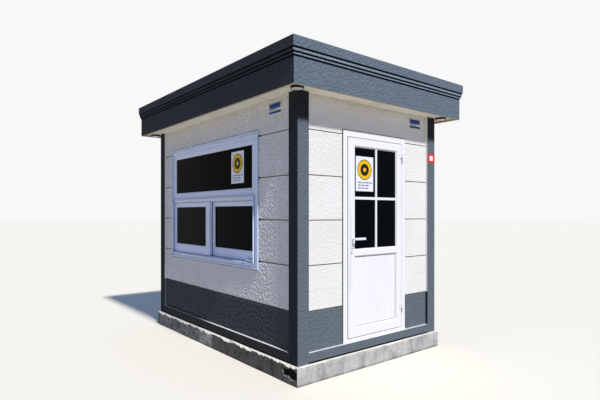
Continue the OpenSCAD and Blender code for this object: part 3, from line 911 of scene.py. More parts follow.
def walk_round(half_x: float, half_y: float) -> Iterable[tuple[WallSide, float, float]]:
    """Lists the four sides of a rectangle round the booth's centre, in the order in which one walks round it.

    Args:
        half_x: half its width.
        half_y: half its depth.

    Returns:
        Each side, with half its run and its reach.
    """
    for side in (WallSide.FRONT, WallSide.RIGHT, WallSide.BACK, WallSide.LEFT):
        across = side in (WallSide.FRONT, WallSide.BACK)
        yield (side, half_x, half_y) if across else (side, half_y, half_x)


class Sketch:
    """A mesh in the making, in metres in the booth's frame."""

    def __init__(self) -> None:
        """Starts an empty mesh."""
        self.mesh = bmesh.new()

    def face(self, corners: Sequence[bmesh.types.BMVert], paint: int = 0) -> None:
        """Adds a face between vertices, painted with one of the piece's finishes."""
        self.mesh.faces.new(corners).material_index = paint

    def block(self, side: WallSide, low: Sequence[float], high: Sequence[float], paint: int = 0) -> None:
        """Adds a rectangular block on a wall.

        Args:
            side: the wall.
            low: its lowest run, height and reach.
            high: its highest run, height and reach.
            paint: number of the finish.
        """
        corners = [
            self.mesh.verts.new(side.point(along, up, out))
            for out in (low[2], high[2]) for up in (low[1], high[1]) for along in (low[0], high[0])
        ]
        for quad in ((0, 1, 3, 2), (4, 6, 7, 5), (0, 4, 5, 1), (2, 3, 7, 6), (0, 2, 6, 4), (1, 5, 7, 3)):
            self.face([corners[i] for i in quad], paint)

    def sweep(self, rings: Iterable[Iterable[Vector]]) -> None:
        """Joins closed rings of points, each to the next and the last to the first.

        Args:
            rings: the points of each ring, in the same number.
        """
        made = [[self.mesh.verts.new(point) for point in ring] for ring in rings]
        for ring, following in zip(made, made[1:] + made[:1]):
            for i, corner in enumerate(ring):
                j = (i + 1) % len(ring)
                self.face([corner, ring[j], following[j], following[i]])

    def surround(self, side: WallSide, low: Point, high: Point, reach: float, profile: Profile) -> None:
        """Runs a profile round a rectangle on a wall, mitred at its corners.

        Args:
            side: the wall.
            low: lowest run and height of the rectangle.
            high: its highest run and height.
            reach: reach of the face that the profile lies on.
            profile: points of the closed profile, each as its inset from the rectangle and how far it
                stands off the face.
        """
        corners = [(*low, 1, 1), (high[0], low[1], -1, 1), (*high, -1, -1), (low[0], high[1], 1, -1)]
        self.sweep(
            [side.point(along + x * inset, up + y * inset, reach + out) for inset, out in profile]
            for along, up, x, y in corners
        )

    def belt(self, reach_x: float, reach_y: float, profile: Profile) -> None:
        """Runs a profile round all four sides of the booth, mitred at its corners.

        Args:
            reach_x: reach of the face that it lies on, to the left and the right.
            reach_y: its reach to the front and the back.
            profile: points of the closed profile, each as how far it stands off the face, and its height.
        """
        self.sweep(
            [Vector((x * (reach_x + out), y * (reach_y + out), height)) for out, height in profile]
            for x, y in ((-1, -1), (1, -1), (1, 1), (-1, 1))
        )

    def turned(self, centre: Vector, axis: Vector, profile: Profile, segments: int, paint: int = 0) -> None:
        """Turns a profile round an axis.

        Args:
            centre: a point on the axis.
            axis: direction of the axis.
            profile: radius and distance along the axis of each point, from one end to the other.
            segments: number of facets round the axis.
            paint: number of the finish.
        """
        turn = axis.to_track_quat("Z", "Y").to_matrix()
        rings = []
        for radius, reach in profile:
            angles = [2 * math.pi * i / segments for i in range(segments)] if radius else [0.0]
            rings.append([
                self.mesh.verts.new(
                    centre + turn @ Vector((radius * math.cos(angle), radius * math.sin(angle), reach))
                ) for angle in angles
            ])
        for ring, following in zip(rings, rings[1:]):
            for i in range(segments):
                j = (i + 1) % segments
                if len(following) == 1:
                    self.face([ring[i], ring[j], following[0]], paint)
                else:
                    self.face([ring[i], ring[j], following[j], following[i]], paint)
        self.face(rings[0][::-1], paint)
        if len(rings[-1]) > 1:
            self.face(rings[-1], paint)

    def piece(
        self, name: str, finishes: Sequence[Finish], slot: Slot, body: Body = Body.BOOTH, arris_mm: float = 0.0,
        smooth_deg: float = 35.0,
    ) -> bpy.types.Object:
        """Finishes the mesh as a piece that rides on a body.

        Args:
            name: the piece's name.
            finishes: its finishes, in the order of their numbers.
            slot: the material slot that it belongs to; not used.
            body: the body that it rides on.
            arris_mm: width of the rounding along its edges, or 0 for none.
            smooth_deg: angle under which neighbouring faces are shaded as one.

        Returns:
            The new piece.
        """
        bmesh.ops.recalc_face_normals(self.mesh, faces=self.mesh.faces)
        data = bpy.data.meshes.new(name)
        self.mesh.to_mesh(data)
        self.mesh.free()
        for finish in finishes:
            data.materials.append(finish.material())
        made = placed(name, data)
        data.shade_smooth()
        data.set_sharp_from_angle(angle=math.radians(smooth_deg))
        if arris_mm:
            round_arris(made, arris_mm, 2)
        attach(made, body.value)
        LOG.info("%s rides on %s", name, body.value)
        return made


@dataclass(frozen=True)
class Trim:
    """A joint, a seal or a strip of one profile, which runs round rectangles on a wall."""

    name: str
    finish: Finish
    profile: Profile
    body: Body = Body.BOOTH
    arris_mm: float = 0.0

    def lay(self, side: WallSide, *rectangles: tuple[Point, Point, float]) -> None:
        """Lays the trim as one piece.

        Args:
            side: the wall.
            rectangles: the lowest run and height of each, its highest run and height, and the reach of the
                face that the trim lies on.
        """
        sketch = Sketch()
        for low, high, reach in rectangles:
            sketch.surround(side, low, high, reach, self.profile)
        sketch.piece(self.name, [self.finish], Slot.WHITE, self.body, self.arris_mm)


@dataclass
class Plinth:
    """Concrete slab under the booth, with a worn upper edge and a piece broken out near its front corner.

    Each wave of its sides is given by its mean depth and its swing, as shares of the waviness, and its
    number per metre; each wave of the chips and of the hollow by its swing, its number per metre and the
    level of the noise that it is read from.
    """

    step: float = 0.012
    rows: int = 11
    edge_drops: tuple[float, ...] = (0.045, 0.036, 0.028)
    chip_rows: tuple[float, ...] = (1.0, 0.8, 0.55, 0.3, 0.1)
    insets: tuple[float, ...] = (0.004, 0.012, 0.025)
    lip: float = 0.075
    top_wear: float = 0.0012
    waviness: float = 0.006
    waves: tuple[tuple[float, float, float], ...] = ((0.5, 0.5, 4.2), (0.25, 0.25, 23.0), (0.0, 0.3, 61.0))
    arris: float = 0.014
    chip_depth: float = 0.02
    chip_most: float = 0.027
    chip_waves: tuple[tuple[float, float, float], ...] = ((1.0, 7.0, 0.1), (0.6, 29.0, 0.7))
    chip_gain: float = 1.3
    chip_least: float = -0.35
    hollow_depth: float = 0.055
    hollow_end: float = 0.018
    hollow_length: float = 0.215
    hollow_foot: float = 0.058
    hollow_top: float = 0.137
    hollow_slope: float = 0.016
    hollow_waves: tuple[tuple[float, float, float], ...] = ((0.016, 19.0, 3.0), (0.006, 60.0, 7.0))
    shoulders: Point = (0.05, 0.129)
    shoulder_falls: Point = (0.9, 0.25)

    def build(self) -> None:
        """Makes the slab in place of its plain node."""
        _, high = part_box("concrete_plinth")
        sketch = Sketch()
        rings = [[sketch.mesh.verts.new(point) for point in column] for column in self.columns(high)]
        for ring, following in zip(rings, rings[1:] + rings[:1]):
            for a, b, c, d in zip(ring, ring[1:], following[1:], following):
                sketch.face([a, d, c, b])
        sketch.face([ring[0] for ring in rings[::-1]])
        sketch.face([ring[-1] for ring in rings])
        made = sketch.piece("weathered_plinth", [CONCRETE], Slot.CONCRETE, smooth_deg=50)
        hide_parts("concrete_plinth")

    def columns(self, high: Vector) -> list[list[Vector]]:
        """Works out the slab's skin as columns that run from its foot over the edge to the inner top.

        Args:
            high: the slab's highest corner.

        Returns:
            The columns, each from its lowest point on.
        """
        columns = []
        for side, half, out in walk_round(high.x, high.y):
            count = round(2 * half / self.step)
            for i in range(count):
                columns.append(self.column(side, -half + 2 * half * i / count, half, out, high.z))
        return columns

    def column(self, side: WallSide, along: float, half: float, out: float, top: float) -> list[Vector]:
        """Works out one column of points.

        Args:
            side: the side that it stands on.
            along: its run.
            half: half the side's length.
            out: the side's reach.
            top: the slab's height.

        Returns:
            The column's points, from the lowest on.
        """
        chip = self.chip(side, along)
        foot = top - self.edge_drops[0]
        heights = [foot * row / self.rows for row in range(self.rows)]
        heights += [top - drop for drop in self.edge_drops] + [top - chip * share for share in self.chip_rows]
        points = []
        for height in heights:
            place = side.point(along, height, out)
            wave = sum(mean + swing * noise.noise(place * number) for mean, swing, number in self.waves)
            chipped = chip * max(0.0, 1 - (top - height) / chip)
            points.append((height, self.waviness * wave + chipped + self.hollow(side, along, half, height)))
        edge = points[-1][1]
        for inset in self.insets:
            grain = 1 + noise.noise(side.point(along, top, out + inset) * 31)
            points.append((top - self.top_wear * grain, edge + inset))
        points.append((top - 0.001, self.lip))
        return [
            side.point(max(-half + worn, min(half - worn, along)), height, out - worn) for height, worn in points
        ]

    def chip(self, side: WallSide, along: float) -> float:
        """Works out how much of the upper edge is chipped off.

        Args:
            side: the side.
            along: the run.

        Returns:
            The depth of the chip.
        """
        rough = self.chip_gain * sum(
            swing * noise.noise(side.point(along, level, 1.0) * number) for swing, number, level in self.chip_waves
        )
        share = {WallSide.LEFT: 1.0, WallSide.FRONT: 0.3}.get(side, 0.4)
        return share * min(self.chip_most, self.arris + self.chip_depth * max(self.chip_least, min(1.0, rough)))

    def hollow(self, side: WallSide, along: float, half: float, height: float) -> float:
        """Works out the depth of the hollow that is broken out of the front end of the left side.

        Args:
            side: the side.
            along: the run.
            half: half the side's length.
            height: the height.

        Returns:
            The depth, which is 0 outside the hollow.
        """
        if side is not WallSide.LEFT:
            return 0.0
        run = half - along
        rough = sum(
            swing * noise.noise(Vector((along * number, height * number, level)))
            for swing, number, level in self.hollow_waves
        )
        beyond = (max(0.0, self.shoulders[0] - run), max(0.0, run - self.shoulders[1]))
        top = self.hollow_top - sum(fall * past for fall, past in zip(self.shoulder_falls, beyond))
        edges = (run - self.hollow_end, self.hollow_length - run, height - self.hollow_foot, top - height)
        return self.hollow_depth * max(0.0, min(1.0, (min(edges) + rough) / self.hollow_slope))


@dataclass
class Shell:
    """Walls, posts, rails, floor and ceiling."""

    walls: tuple[str, ...] = (
        "front_wall_left", "front_wall_right", "front_wall_head", "left_wall_front", "left_wall_back",
        "left_wall_below_window", "left_wall_above_window", "back_wall", "right_wall",
    )
    corners: tuple[str, ...] = ("front_left", "front_right", "back_left", "back_right")
    strip_depth: float = 0.03
    strip_squeeze: float = 0.004
    strip_proud: float = 0.0008
    band_shadow_heights: tuple[float, ...] = (0.014, 0.0135, 0.014)
    band_shadow_sunk: float = 0.003
    band_shadow_proud: float = 0.001
    near_end: Point = (0.03, 0.014)
    far_end: Point = (0.007, 0.006)
    end_half: float = 0.0065
    end_sunk: float = 0.004

    def build(self) -> None:
        """Dresses the shell's nodes and adds black strips and blocks as painted shade: under the base rails, under
        the fascia's bands and in the grooves' open ends.
        """
        posts = [f"corner_post_{corner}" for corner in self.corners]
        fascias = [f"fascia_{side.value}" for side in WallSide]
        dress(self.walls, WALL_COAT)
        dress(posts, POST_COAT)
        dress([f"base_rail_{side.value}" for side in WallSide], RAIL_COAT)
        dress(fascias, FASCIA_COAT)
        dress(["floor_deck"], FLOOR_VINYL)
        dress(["ceiling_board"], CEILING_PAINT)
        soften(posts, 3.0)
        soften(fascias, 1.5)
        self.add_rail_gap_shadows()
        self.add_fascia_band_shadows()
        self.add_groove_end_shade()

    def add_rail_gap_shadows(self) -> None:
        """Adds a black strip in the gap under each base rail and over its lower edge, as a painted shadow."""
        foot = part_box("concrete_plinth")[1].z
        sketch = Sketch()
        for side in WallSide:
            low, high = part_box(f"base_rail_{side.value}")
            across = side in (WallSide.FRONT, WallSide.BACK)
            run, reach = (high.x, max(high.y, -low.y)) if across else (high.y, max(high.x, -low.x))
            sketch.block(
                side, (-run, foot, reach - self.strip_depth),
                (run, low.z + self.strip_squeeze, reach + self.strip_proud),
            )
        sketch.piece("rail_gap_shadow_strips", [GAP_SHADOW_BLACK], Slot.ANTHRACITE)

    def add_fascia_band_shadows(self) -> None:
        """Adds black strips under the top band and under the two strips of the fascia, as painted shadows of the
        bands.
        """
        corners = [vertex.co for vertex in bpy.data.objects["fascia_front"].data.vertices]
        levels = sorted({round(corner.z, 4) for corner in corners})[1:-1]
        low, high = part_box("fascia_front")
        sketch = Sketch()
        for level, height in zip(levels, self.band_shadow_heights):
            reach = min(-corner.y for corner in corners if abs(corner.z - level) < 0.0005)
            profile = [(-self.band_shadow_sunk, level - height), (self.band_shadow_proud, level - height)]
            profile += [(self.band_shadow_proud, level), (-self.band_shadow_sunk, level)]
            sketch.belt(reach + high.x + low.y, reach, profile)
        sketch.piece("fascia_band_shadow_strips", [BLACK_SHADE], Slot.ANTHRACITE)

    def add_groove_end_shade(self) -> None:
        """Adds black blocks as painted shade in the open ends of the grooves beside the window and the far post."""
        side = WallSide.LEFT
        window_edge = side.rectangle("window_frame")[1][0]
        post_edge = side.rectangle("left_wall_back")[0][0]
        wall = side.rectangle("left_wall_front")[3]
        sketch = Sketch()
        for course in range(1, 5):
            height = WALL_COAT.dado_top + course * WALL_COAT.groove_pitch
            for edge, (shift, half) in ((window_edge, self.near_end), (post_edge, self.far_end)):
                sketch.block(
                    side, (edge + shift - half, height - self.end_half, wall - self.end_sunk),
                    (edge + shift + half, height + self.end_half, wall + TrowelRelief.height),
                )
        sketch.piece("groove_end_shade_blocks", [BLACK_SHADE], Slot.WALL)


@dataclass
class TrowelRelief:
    """Real relief of the coat on the window wall, where the key light only grazes it."""

    grid: float = 0.0045
    dado_grid: float = 0.006
    far_grid: float = 0.012
    far_run: float = 0.5
    eaves: float = 0.3
    ridge: float = 0.0165
    contrast: float = 1.9
    fine_share: float = 0.3
    sweep: float = 0.12
    bend: float = 0.5
    stretch: float = 2.0
    rise_deg: float = 32.0
    height: float = 0.0052
    lift: float = 0.0002
    hem: float = 0.012
    hem_share: float = 0.15
    groove_half: float = 0.006
    post_gap: float = 0.002
    window_gap: float = 0.006
    seed: int = 3
    side: WallSide = WallSide.LEFT

    def build(self) -> None:
        """Makes the relief course by course, round the window."""
        # noise_vector draws its offsets at random, so the seed keeps every run the same
        noise.seed_set(self.seed)
        (_, foot), _, _, reach = self.side.rectangle("left_wall_front")
        near = self.side.rectangle("corner_post_front_left")[0][0]
        far = self.side.rectangle("corner_post_back_left")[1][0]
        levels = [foot] + [WALL_COAT.dado_top + course * WALL_COAT.groove_pitch for course in range(5)]
        levels.append(WALL_COAT.soffit)
        dado, upper = Sketch(), Sketch()
        for bottom, top in zip(levels, levels[1:]):
            self.course(dado if bottom == foot else upper, (far, bottom), (near, top), reach)
        for name, sketch in (("left_wall_dado_relief", dado), ("left_wall_relief", upper)):
            LOG.info("%s has %d faces", name, len(sketch.mesh.faces))
            sketch.piece(name, [RELIEF_COAT], Slot.WALL, smooth_deg=180.0)

    def course(self, sketch: Sketch, low: Point, high: Point, reach: float) -> None:
        """Lays one course between two grooves, less the window.

        Args:
            sketch: the mesh that it is added to.
            low: its lowest run and height.
            high: its highest run and height.
            reach: reach of the wall's face.
        """
        left, bottom = low[0] + self.post_gap, low[1] + self.groove_half
        right, top = high[0] - self.post_gap, high[1] - self.groove_half
        (window_left, sill), (window_right, head), _, _ = self.side.rectangle("window_frame")
        from_run, to_run = window_left - self.window_gap, window_right + self.window_gap
        from_up, to_up = sill - self.window_gap, head + self.window_gap
        patches = [((left, bottom), (right, top))]
        if top > sill and bottom < head:
            patches = [((left, bottom), (from_run, top)), ((to_run, bottom), (right, top))]
            if bottom < from_up:
                patches.append(((from_run, bottom), (to_run, from_up)))
            if top > to_up:
                patches.append(((from_run, to_up), (to_run, top)))
        for patch_low, patch_high in patches:
            self.patch(sketch, patch_low, patch_high, (left, bottom, right, top), reach)

    def patch(
        self, sketch: Sketch, low: Point, high: Point, edges: tuple[float, float, float, float], reach: float
    ) -> None:
        """Lays one rectangle of relief, which thins out towards the edges of its course.

        Args:
            sketch: the mesh that it is added to.
            low: its lowest run and height.
            high: its highest run and height.
            edges: lowest run, lowest height, highest run and highest height of its course.
            reach: reach of the wall's face.
        """
        shaded = high[0] < edges[0] + self.far_run or low[1] > WALL_COAT.soffit - self.eaves
        grid = self.far_grid if shaded else self.dado_grid if high[1] < WALL_COAT.dado_top else self.grid
        columns = max(1, round((high[0] - low[0]) / grid))
        rows = max(1, round((high[1] - low[1]) / grid))
        lines = []
        for row in range(rows + 1):
            up = low[1] + (high[1] - low[1]) * row / rows
            line = []
            for column in range(columns + 1):
                along = low[0] + (high[0] - low[0]) * column / columns
                margin = min(along - edges[0], edges[2] - along, up - edges[1], edges[3] - up)
                share = min(1.0, self.hem_share + max(0.0, margin) / self.hem)
                out = reach + self.lift + self.height * share * self.ridges(along, up)
                line.append(sketch.mesh.verts.new(self.side.point(along, up, out)))
            lines.append(line)
        for lower, upper in zip(lines, lines[1:]):
            for i in range(columns):
                sketch.face([lower[i], lower[i + 1], upper[i + 1], upper[i]])

    def ridges(self, along: float, up: float) -> float:
        """Works out the height of the ridges at a place.

        Args:
            along: its run.
            up: its height.

        Returns:
            The height, from 0 to 1.
        """
        sway = noise.noise_vector(Vector((along, up, 0.0)) / self.sweep) * (0.5 * self.bend * self.sweep)
        turn = math.radians(self.rise_deg)
        x, y = along + sway.x, up + sway.y
        run = (x * math.cos(turn) - y * math.sin(turn)) / self.stretch
        across = x * math.sin(turn) + y * math.cos(turn)
        rough = noise.noise(Vector((run, across, 0.0)) / self.ridge)
        rough += self.fine_share * noise.noise(Vector((run, across, 5.0)) / (0.5 * self.ridge))
        share = max(0.0, min(1.0, 0.5 + self.contrast * rough))
        return share * share * (3 - 2 * share)


@dataclass
class Roof:
    """Ribbed roof sheet behind the fascia, with its screws and an upstand along the edge."""

    rib_pitch: float = 0.25
    rib_height: float = 0.035
    screw_pitch: float = 0.42
    margins: Point = (0.06, 0.12)
    washer: Profile = ((0.008, -0.0005), (0.008, 0.0012), (0.0056, 0.002))
    head: Profile = ((0.004, 0.0015), (0.004, 0.006))
    upstand: float = 0.06
    sheet_thickness: float = 0.0015

    def build(self) -> None:
        """Dresses the sheet and adds the upstand and the screws."""
        dress(["roof_sheet"], ZINC)
        _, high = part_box("roof_sheet")
        self.add_upstand(high)
        self.add_screws(high)

    def add_upstand(self, high: Vector) -> None:
        """Adds the folded strip that closes the sheet against the fascia.

        Args:
            high: the sheet's highest corner.
        """
        valley = high.z - self.rib_height
        sketch = Sketch()
        for side, run, reach in walk_round(high.x, high.y):
            sketch.block(side, (-run, valley, reach - self.sheet_thickness), (run, valley + self.upstand, reach))
        sketch.piece("parapet_upstand", [ZINC], Slot.ZINC)

    def add_screws(self, high: Vector) -> None:
        """Adds screws with washers along the crests of the ribs.

        Args:
            high: the sheet's highest corner.
        """
        ribs = int(2 * (high.x - self.margins[0]) / self.rib_pitch)
        rows = int(2 * (high.y - self.margins[1]) / self.screw_pitch)
        sketch = Sketch()
        for rib in range(ribs + 1):
            for row in range(rows + 1):
                centre = Vector(((rib - ribs / 2) * self.rib_pitch, (row - rows / 2) * self.screw_pitch, high.z))
                for profile, segments in ((self.washer, 16), (self.head, 6)):
                    sketch.turned(centre, Vector((0, 0, 1)), profile, segments)
        sketch.piece("roof_screws", [SCREW_ZINC], Slot.ZINC)


@dataclass
class SoffitLights:
    """Four round fittings with a black rim and an opal cover."""

    rim: float = 0.006
    gap: float = 0.001
    segments: int = 64

    def build(self) -> None:
        """Makes the fittings in place of their node."""
        vertices = [vertex.co.copy() for vertex in bpy.data.objects["soffit_lights"].data.vertices]
        sketch = Sketch()
        for right in (False, True):
            for back in (False, True):
                own = [co for co in vertices if (co.x > 0) == right and (co.y > 0) == back]
                low, high = (Vector(pick(co[axis] for co in own) for axis in range(3)) for pick in (min, max))
                centre = Vector((*((low + high) / 2).xy, high.z))
                self.fitting(sketch, centre, (high.x - low.x) / 2, high.z - low.z)
        made = sketch.piece("soffit_light_fittings", [BLACK_ENAMEL, OPAL], Slot.LAMP, smooth_deg=40)
        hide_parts("soffit_lights")

    def fitting(self, sketch: Sketch, centre: Vector, radius: float, drop: float) -> None:
        """Adds one fitting that hangs from the ceiling.

        Args:
            sketch: the mesh that it is added to.
            centre: its middle on the ceiling.
            radius: its outer radius.
            drop: how far it hangs down.
        """
        inner = radius - self.rim
        glow = inner - self.gap
        for paint, profile in enumerate((
            [(radius, 0.0), (radius - 0.002, drop * 0.95), (radius - 0.003, drop), (inner, drop),
             (inner, drop * 0.8)],
            [(glow, drop * 0.75), (glow, drop * 0.86), (glow - 0.004, drop * 0.94), (glow * 0.6, drop * 0.985),
             (0.0, drop)],
        )):
            sketch.turned(centre, Vector((0, 0, -1)), profile, self.segments, paint)


PANE_SEAL: Profile = ((-0.001, -0.0003), (-0.001, 0.002), (0.001, 0.003), (0.003, 0.0015), (0.004, -0.0003))


@dataclass
class SlidingWindow:
    """White window with a fixed pane over two sliding sashes."""

    bead: float = 0.06
    face: float = 0.062
    frame_proud: float = 0.008
    joint: Trim = Trim("window_silicone_joint", SILICONE, (
        (-0.009, -0.001), (-0.009, 0.0025), (-0.005, 0.0045), (-0.001, 0.006), (0.0004, 0.0065), (0.0004, -0.001),
    ))
    cover: Trim = Trim("window_cover_strip", WINDOW_PVC, (
        (0.0, -0.006), (0.0, 0.009), (0.002, 0.011), (0.015, 0.011), (0.017, 0.009), (0.017, -0.006),
    ), arris_mm=0.4)
    cover_shift: Point = (0.016, 0.018)
    track: Trim = Trim("window_screen_track", WINDOW_PVC, (
        (-0.004, -0.001), (-0.004, 0.0195), (-0.003, 0.0205), (-0.001, 0.0205), (0.0, 0.0195), (0.0, -0.001),
    ))
    gaskets: Trim = Trim("window_gaskets", EPDM, PANE_SEAL)
    track_shift: float = 0.008
    transom_below: float = 0.022
    brush_insets: Point = (0.007, 0.001)
    brush_ends: float = 0.004
    brush_lap: float = 0.0005
    cap: Profile = ((0.006, 0.0), (0.006, 0.0012), (0.004, 0.0022), (0.0, 0.0026))
    cap_runs: tuple[float, ...] = (-0.933, 0.579)
    cap_rise: float = 0.018
    cap_sunk: float = 0.0065
    drain_runs: tuple[float, ...] = (-0.948, -0.258, -0.108, 0.573)
    drain_cover: tuple[float, ...] = (0.0165, 0.026, 0.012, -0.001, 0.0022)
    drain_slot: tuple[float, ...] = (0.013, 0.0225, 0.0185, 0.0, 0.0025)
    side: WallSide = WallSide.LEFT

    def build(self) -> None:
        """Dresses the window and adds its seals, trims, caps and drain covers."""
        frames = ("window_frame", "sliding_sash_outer", "sliding_sash_inner", "sash_stop")
        dress(frames, WINDOW_PVC)
        dress(("sash_glass_outer", "sash_glass_inner"), GLASS)
        dress(("upper_pane",), DARKER_GLASS)
        soften(frames, 1.5)
        self.add_trims()
        self.add_gaskets()
        self.add_brush()
        self.add_small_parts()

    def add_trims(self) -> None:
        """Adds the silicone joint round the frame, the cover strip on its edge and the screen track."""
        low, high, _, front = self.side.rectangle("window_frame")
        self.joint.lay(self.side, (low, high, front - self.frame_proud))
        far, near = self.cover_shift
        self.cover.lay(self.side, ((low[0] + far, low[1]), (high[0] + near, high[1]), front))
        transom = self.side.rectangle("upper_pane")[0][1] - self.transom_below
        inner_low = (low[0] + self.face, low[1] + self.face)
        self.track.lay(self.side, (inner_low, (high[0] - self.face + self.track_shift, transom), front))

    def add_gaskets(self) -> None:
        """Adds the rubber seals round the three panes."""
        panes = []
        for node, hidden in (("upper_pane", self.bead), ("sash_glass_outer", 0.0), ("sash_glass_inner", 0.0)):
            low, high, _, front = self.side.rectangle(node)
            panes.append(((low[0] + hidden, low[1] + hidden), (high[0] - hidden, high[1] - hidden), front))
        self.gaskets.lay(self.side, *panes)

    def add_brush(self) -> None:
        """Adds the brush seal between the two sashes."""
        _, high, back, _ = self.side.rectangle("sliding_sash_outer")
        low, _, _, front = self.side.rectangle("sliding_sash_inner")
        first, last = (high[0] - inset for inset in self.brush_insets)
        sketch = Sketch()
        sketch.block(
            self.side, (first, low[1] + self.brush_ends, front - self.brush_lap),
            (last, high[1] - self.brush_ends, back),
        )
        sketch.piece("sash_brush_seal", [EPDM], Slot.WHITE)

    def add_small_parts(self) -> None:
        """Adds the screw caps on the transom's bead and the covers of the drain slots in the sill."""
        low, _, _, front = self.side.rectangle("window_frame")
        pane_sill = self.side.rectangle("upper_pane")[0][1]
        caps, drains = Sketch(), Sketch()
        for run in self.cap_runs:
            centre = self.side.point(run, pane_sill + self.cap_rise, front - self.cap_sunk)
            caps.turned(centre, self.side.point(0, 0, 1), self.cap, 24)
        caps.piece("transom_screw_caps", [CAP_PLASTIC], Slot.WHITE)
        sill = low[1] + self.face
        for run in self.drain_runs:
            for paint, (half, below, above, back, proud) in enumerate((self.drain_cover, self.drain_slot)):
                drains.block(
                    self.side, (run - half, sill - below, front + back), (run + half, sill - above, front + proud),
                    paint,
                )
        drains.piece("sill_drain_covers", [WINDOW_PVC, KEYWAY], Slot.WHITE, arris_mm=0.4)


@dataclass
class DoorSet:
    """White door frame and leaf, with hinges, lever, plates and lock."""

    frame_proud: float = 0.008
    joint: Trim = Trim("door_silicone_joint", DOOR_JOINT_SILICONE, (
        (-0.009, -0.001), (-0.009, 0.001), (-0.006, 0.003), (-0.002, 0.005), (0.0004, 0.0055), (0.0004, -0.001),
    ))
    gasket: Trim = Trim("door_glass_gasket", EPDM, PANE_SEAL, Body.DOOR)
    rebate: Trim = Trim("door_rebate_gasket", EPDM, (
        (-0.004, -0.0055), (-0.004, -0.002), (0.0, -0.0008), (0.006, -0.002), (0.006, -0.0055),
    ))
    panel_seal: Trim = Trim("door_panel_seal", GREY_SEAL, (
        (-0.0003, -0.003), (-0.0003, 0.0012), (0.0025, 0.0012), (0.0035, -0.003),
    ), Body.DOOR)
    gap_clear: float = 0.0015
    gap_reach: float = 0.0062
    gap_depth: float = 0.006
    hinge_clear: float = 0.03
    lock_height: float = 1.173
    lock: Profile = ((0.0075, -0.0015), (0.0075, 0.0), (0.007, 0.0006), (0.0, 0.0006))
    keyway: tuple[float, float, float] = (0.0011, 0.0045, 0.0008)
    side: WallSide = WallSide.FRONT

    def build(self) -> None:
        """Dresses the door and adds its seals and the face of its lock."""
        frames = ("door_jamb_lock_side", "door_jamb_hinge_side", "door_head", "door_threshold")
        dress((*frames, "door_leaf", "door_glazing_bars"), DOOR_PVC)
        dress(("door_lower_panel",), BOARD_PVC)
        dress(("door_handle_plates", "door_lever", "hinge_pins", "door_hinge_leaves"), WHITE_POWDER)
        dress(("door_glass",), GLASS)
        soften(("door_leaf",), 2.0)
        soften(("door_handle_plates", "door_lever"), 1.5, 3)
        self.add_trims()
        self.add_lock()

    def add_trims(self) -> None:
        """Adds the joint round the frame, the leaf's gaskets and seals, and the lip in the gap round it."""
        low, _, _, front = self.side.rectangle("door_jamb_lock_side")
        high = self.side.rectangle("door_jamb_hinge_side")[1]
        self.joint.lay(self.side, (low, high, front - self.frame_proud))
        low, high, _, front = self.side.rectangle("door_glass")
        self.gasket.lay(self.side, (low, high, front))
        low, high, back, _ = self.side.rectangle("door_leaf")
        self.rebate.lay(self.side, (low, high, back))
        self.add_gap_seal()
        low, high, _, front = self.side.rectangle("door_lower_panel")
        self.panel_seal.lay(self.side, (low, high, front))

    def add_gap_seal(self) -> None:
        """Adds the grey seal lip in the gap beside, above and below the leaf, which also darkens the gap as painted
        shade; the hinge side stays free.
        """
        low, high, back, front = self.side.rectangle("door_leaf")
        near, far, lip = self.gap_clear, self.gap_reach, front - self.gap_depth
        end = high[0] - self.hinge_clear
        sketch = Sketch()
        sketch.block(self.side, (low[0] - far, low[1] - far, back), (low[0] - near, high[1] + far, lip))
        sketch.block(self.side, (low[0] - near, high[1] + near, back), (end, high[1] + far, lip))
        sketch.block(self.side, (low[0] - near, low[1] - far, back), (end, low[1] - near, lip))
        sketch.piece("door_gap_seal", [GREY_SEAL], Slot.WHITE)

    def add_lock(self) -> None:
        """Adds the face of the lock cylinder with its keyway, on the outer plate."""
        low, high, _, front = self.side.rectangle("door_handle_plates")
        run, height = (low[0] + high[0]) / 2, self.lock_height
        half, rise, proud = self.keyway
        sketch = Sketch()
        sketch.turned(self.side.point(run, height, front), self.side.point(0, 0, 1), self.lock, 32)
        sketch.block(
            self.side, (run - half, height - rise, front), (run + half, height + rise, front + proud), 1
        )
        sketch.piece("lock_face", [NICKEL, KEYWAY], Slot.METAL, Body.DOOR)


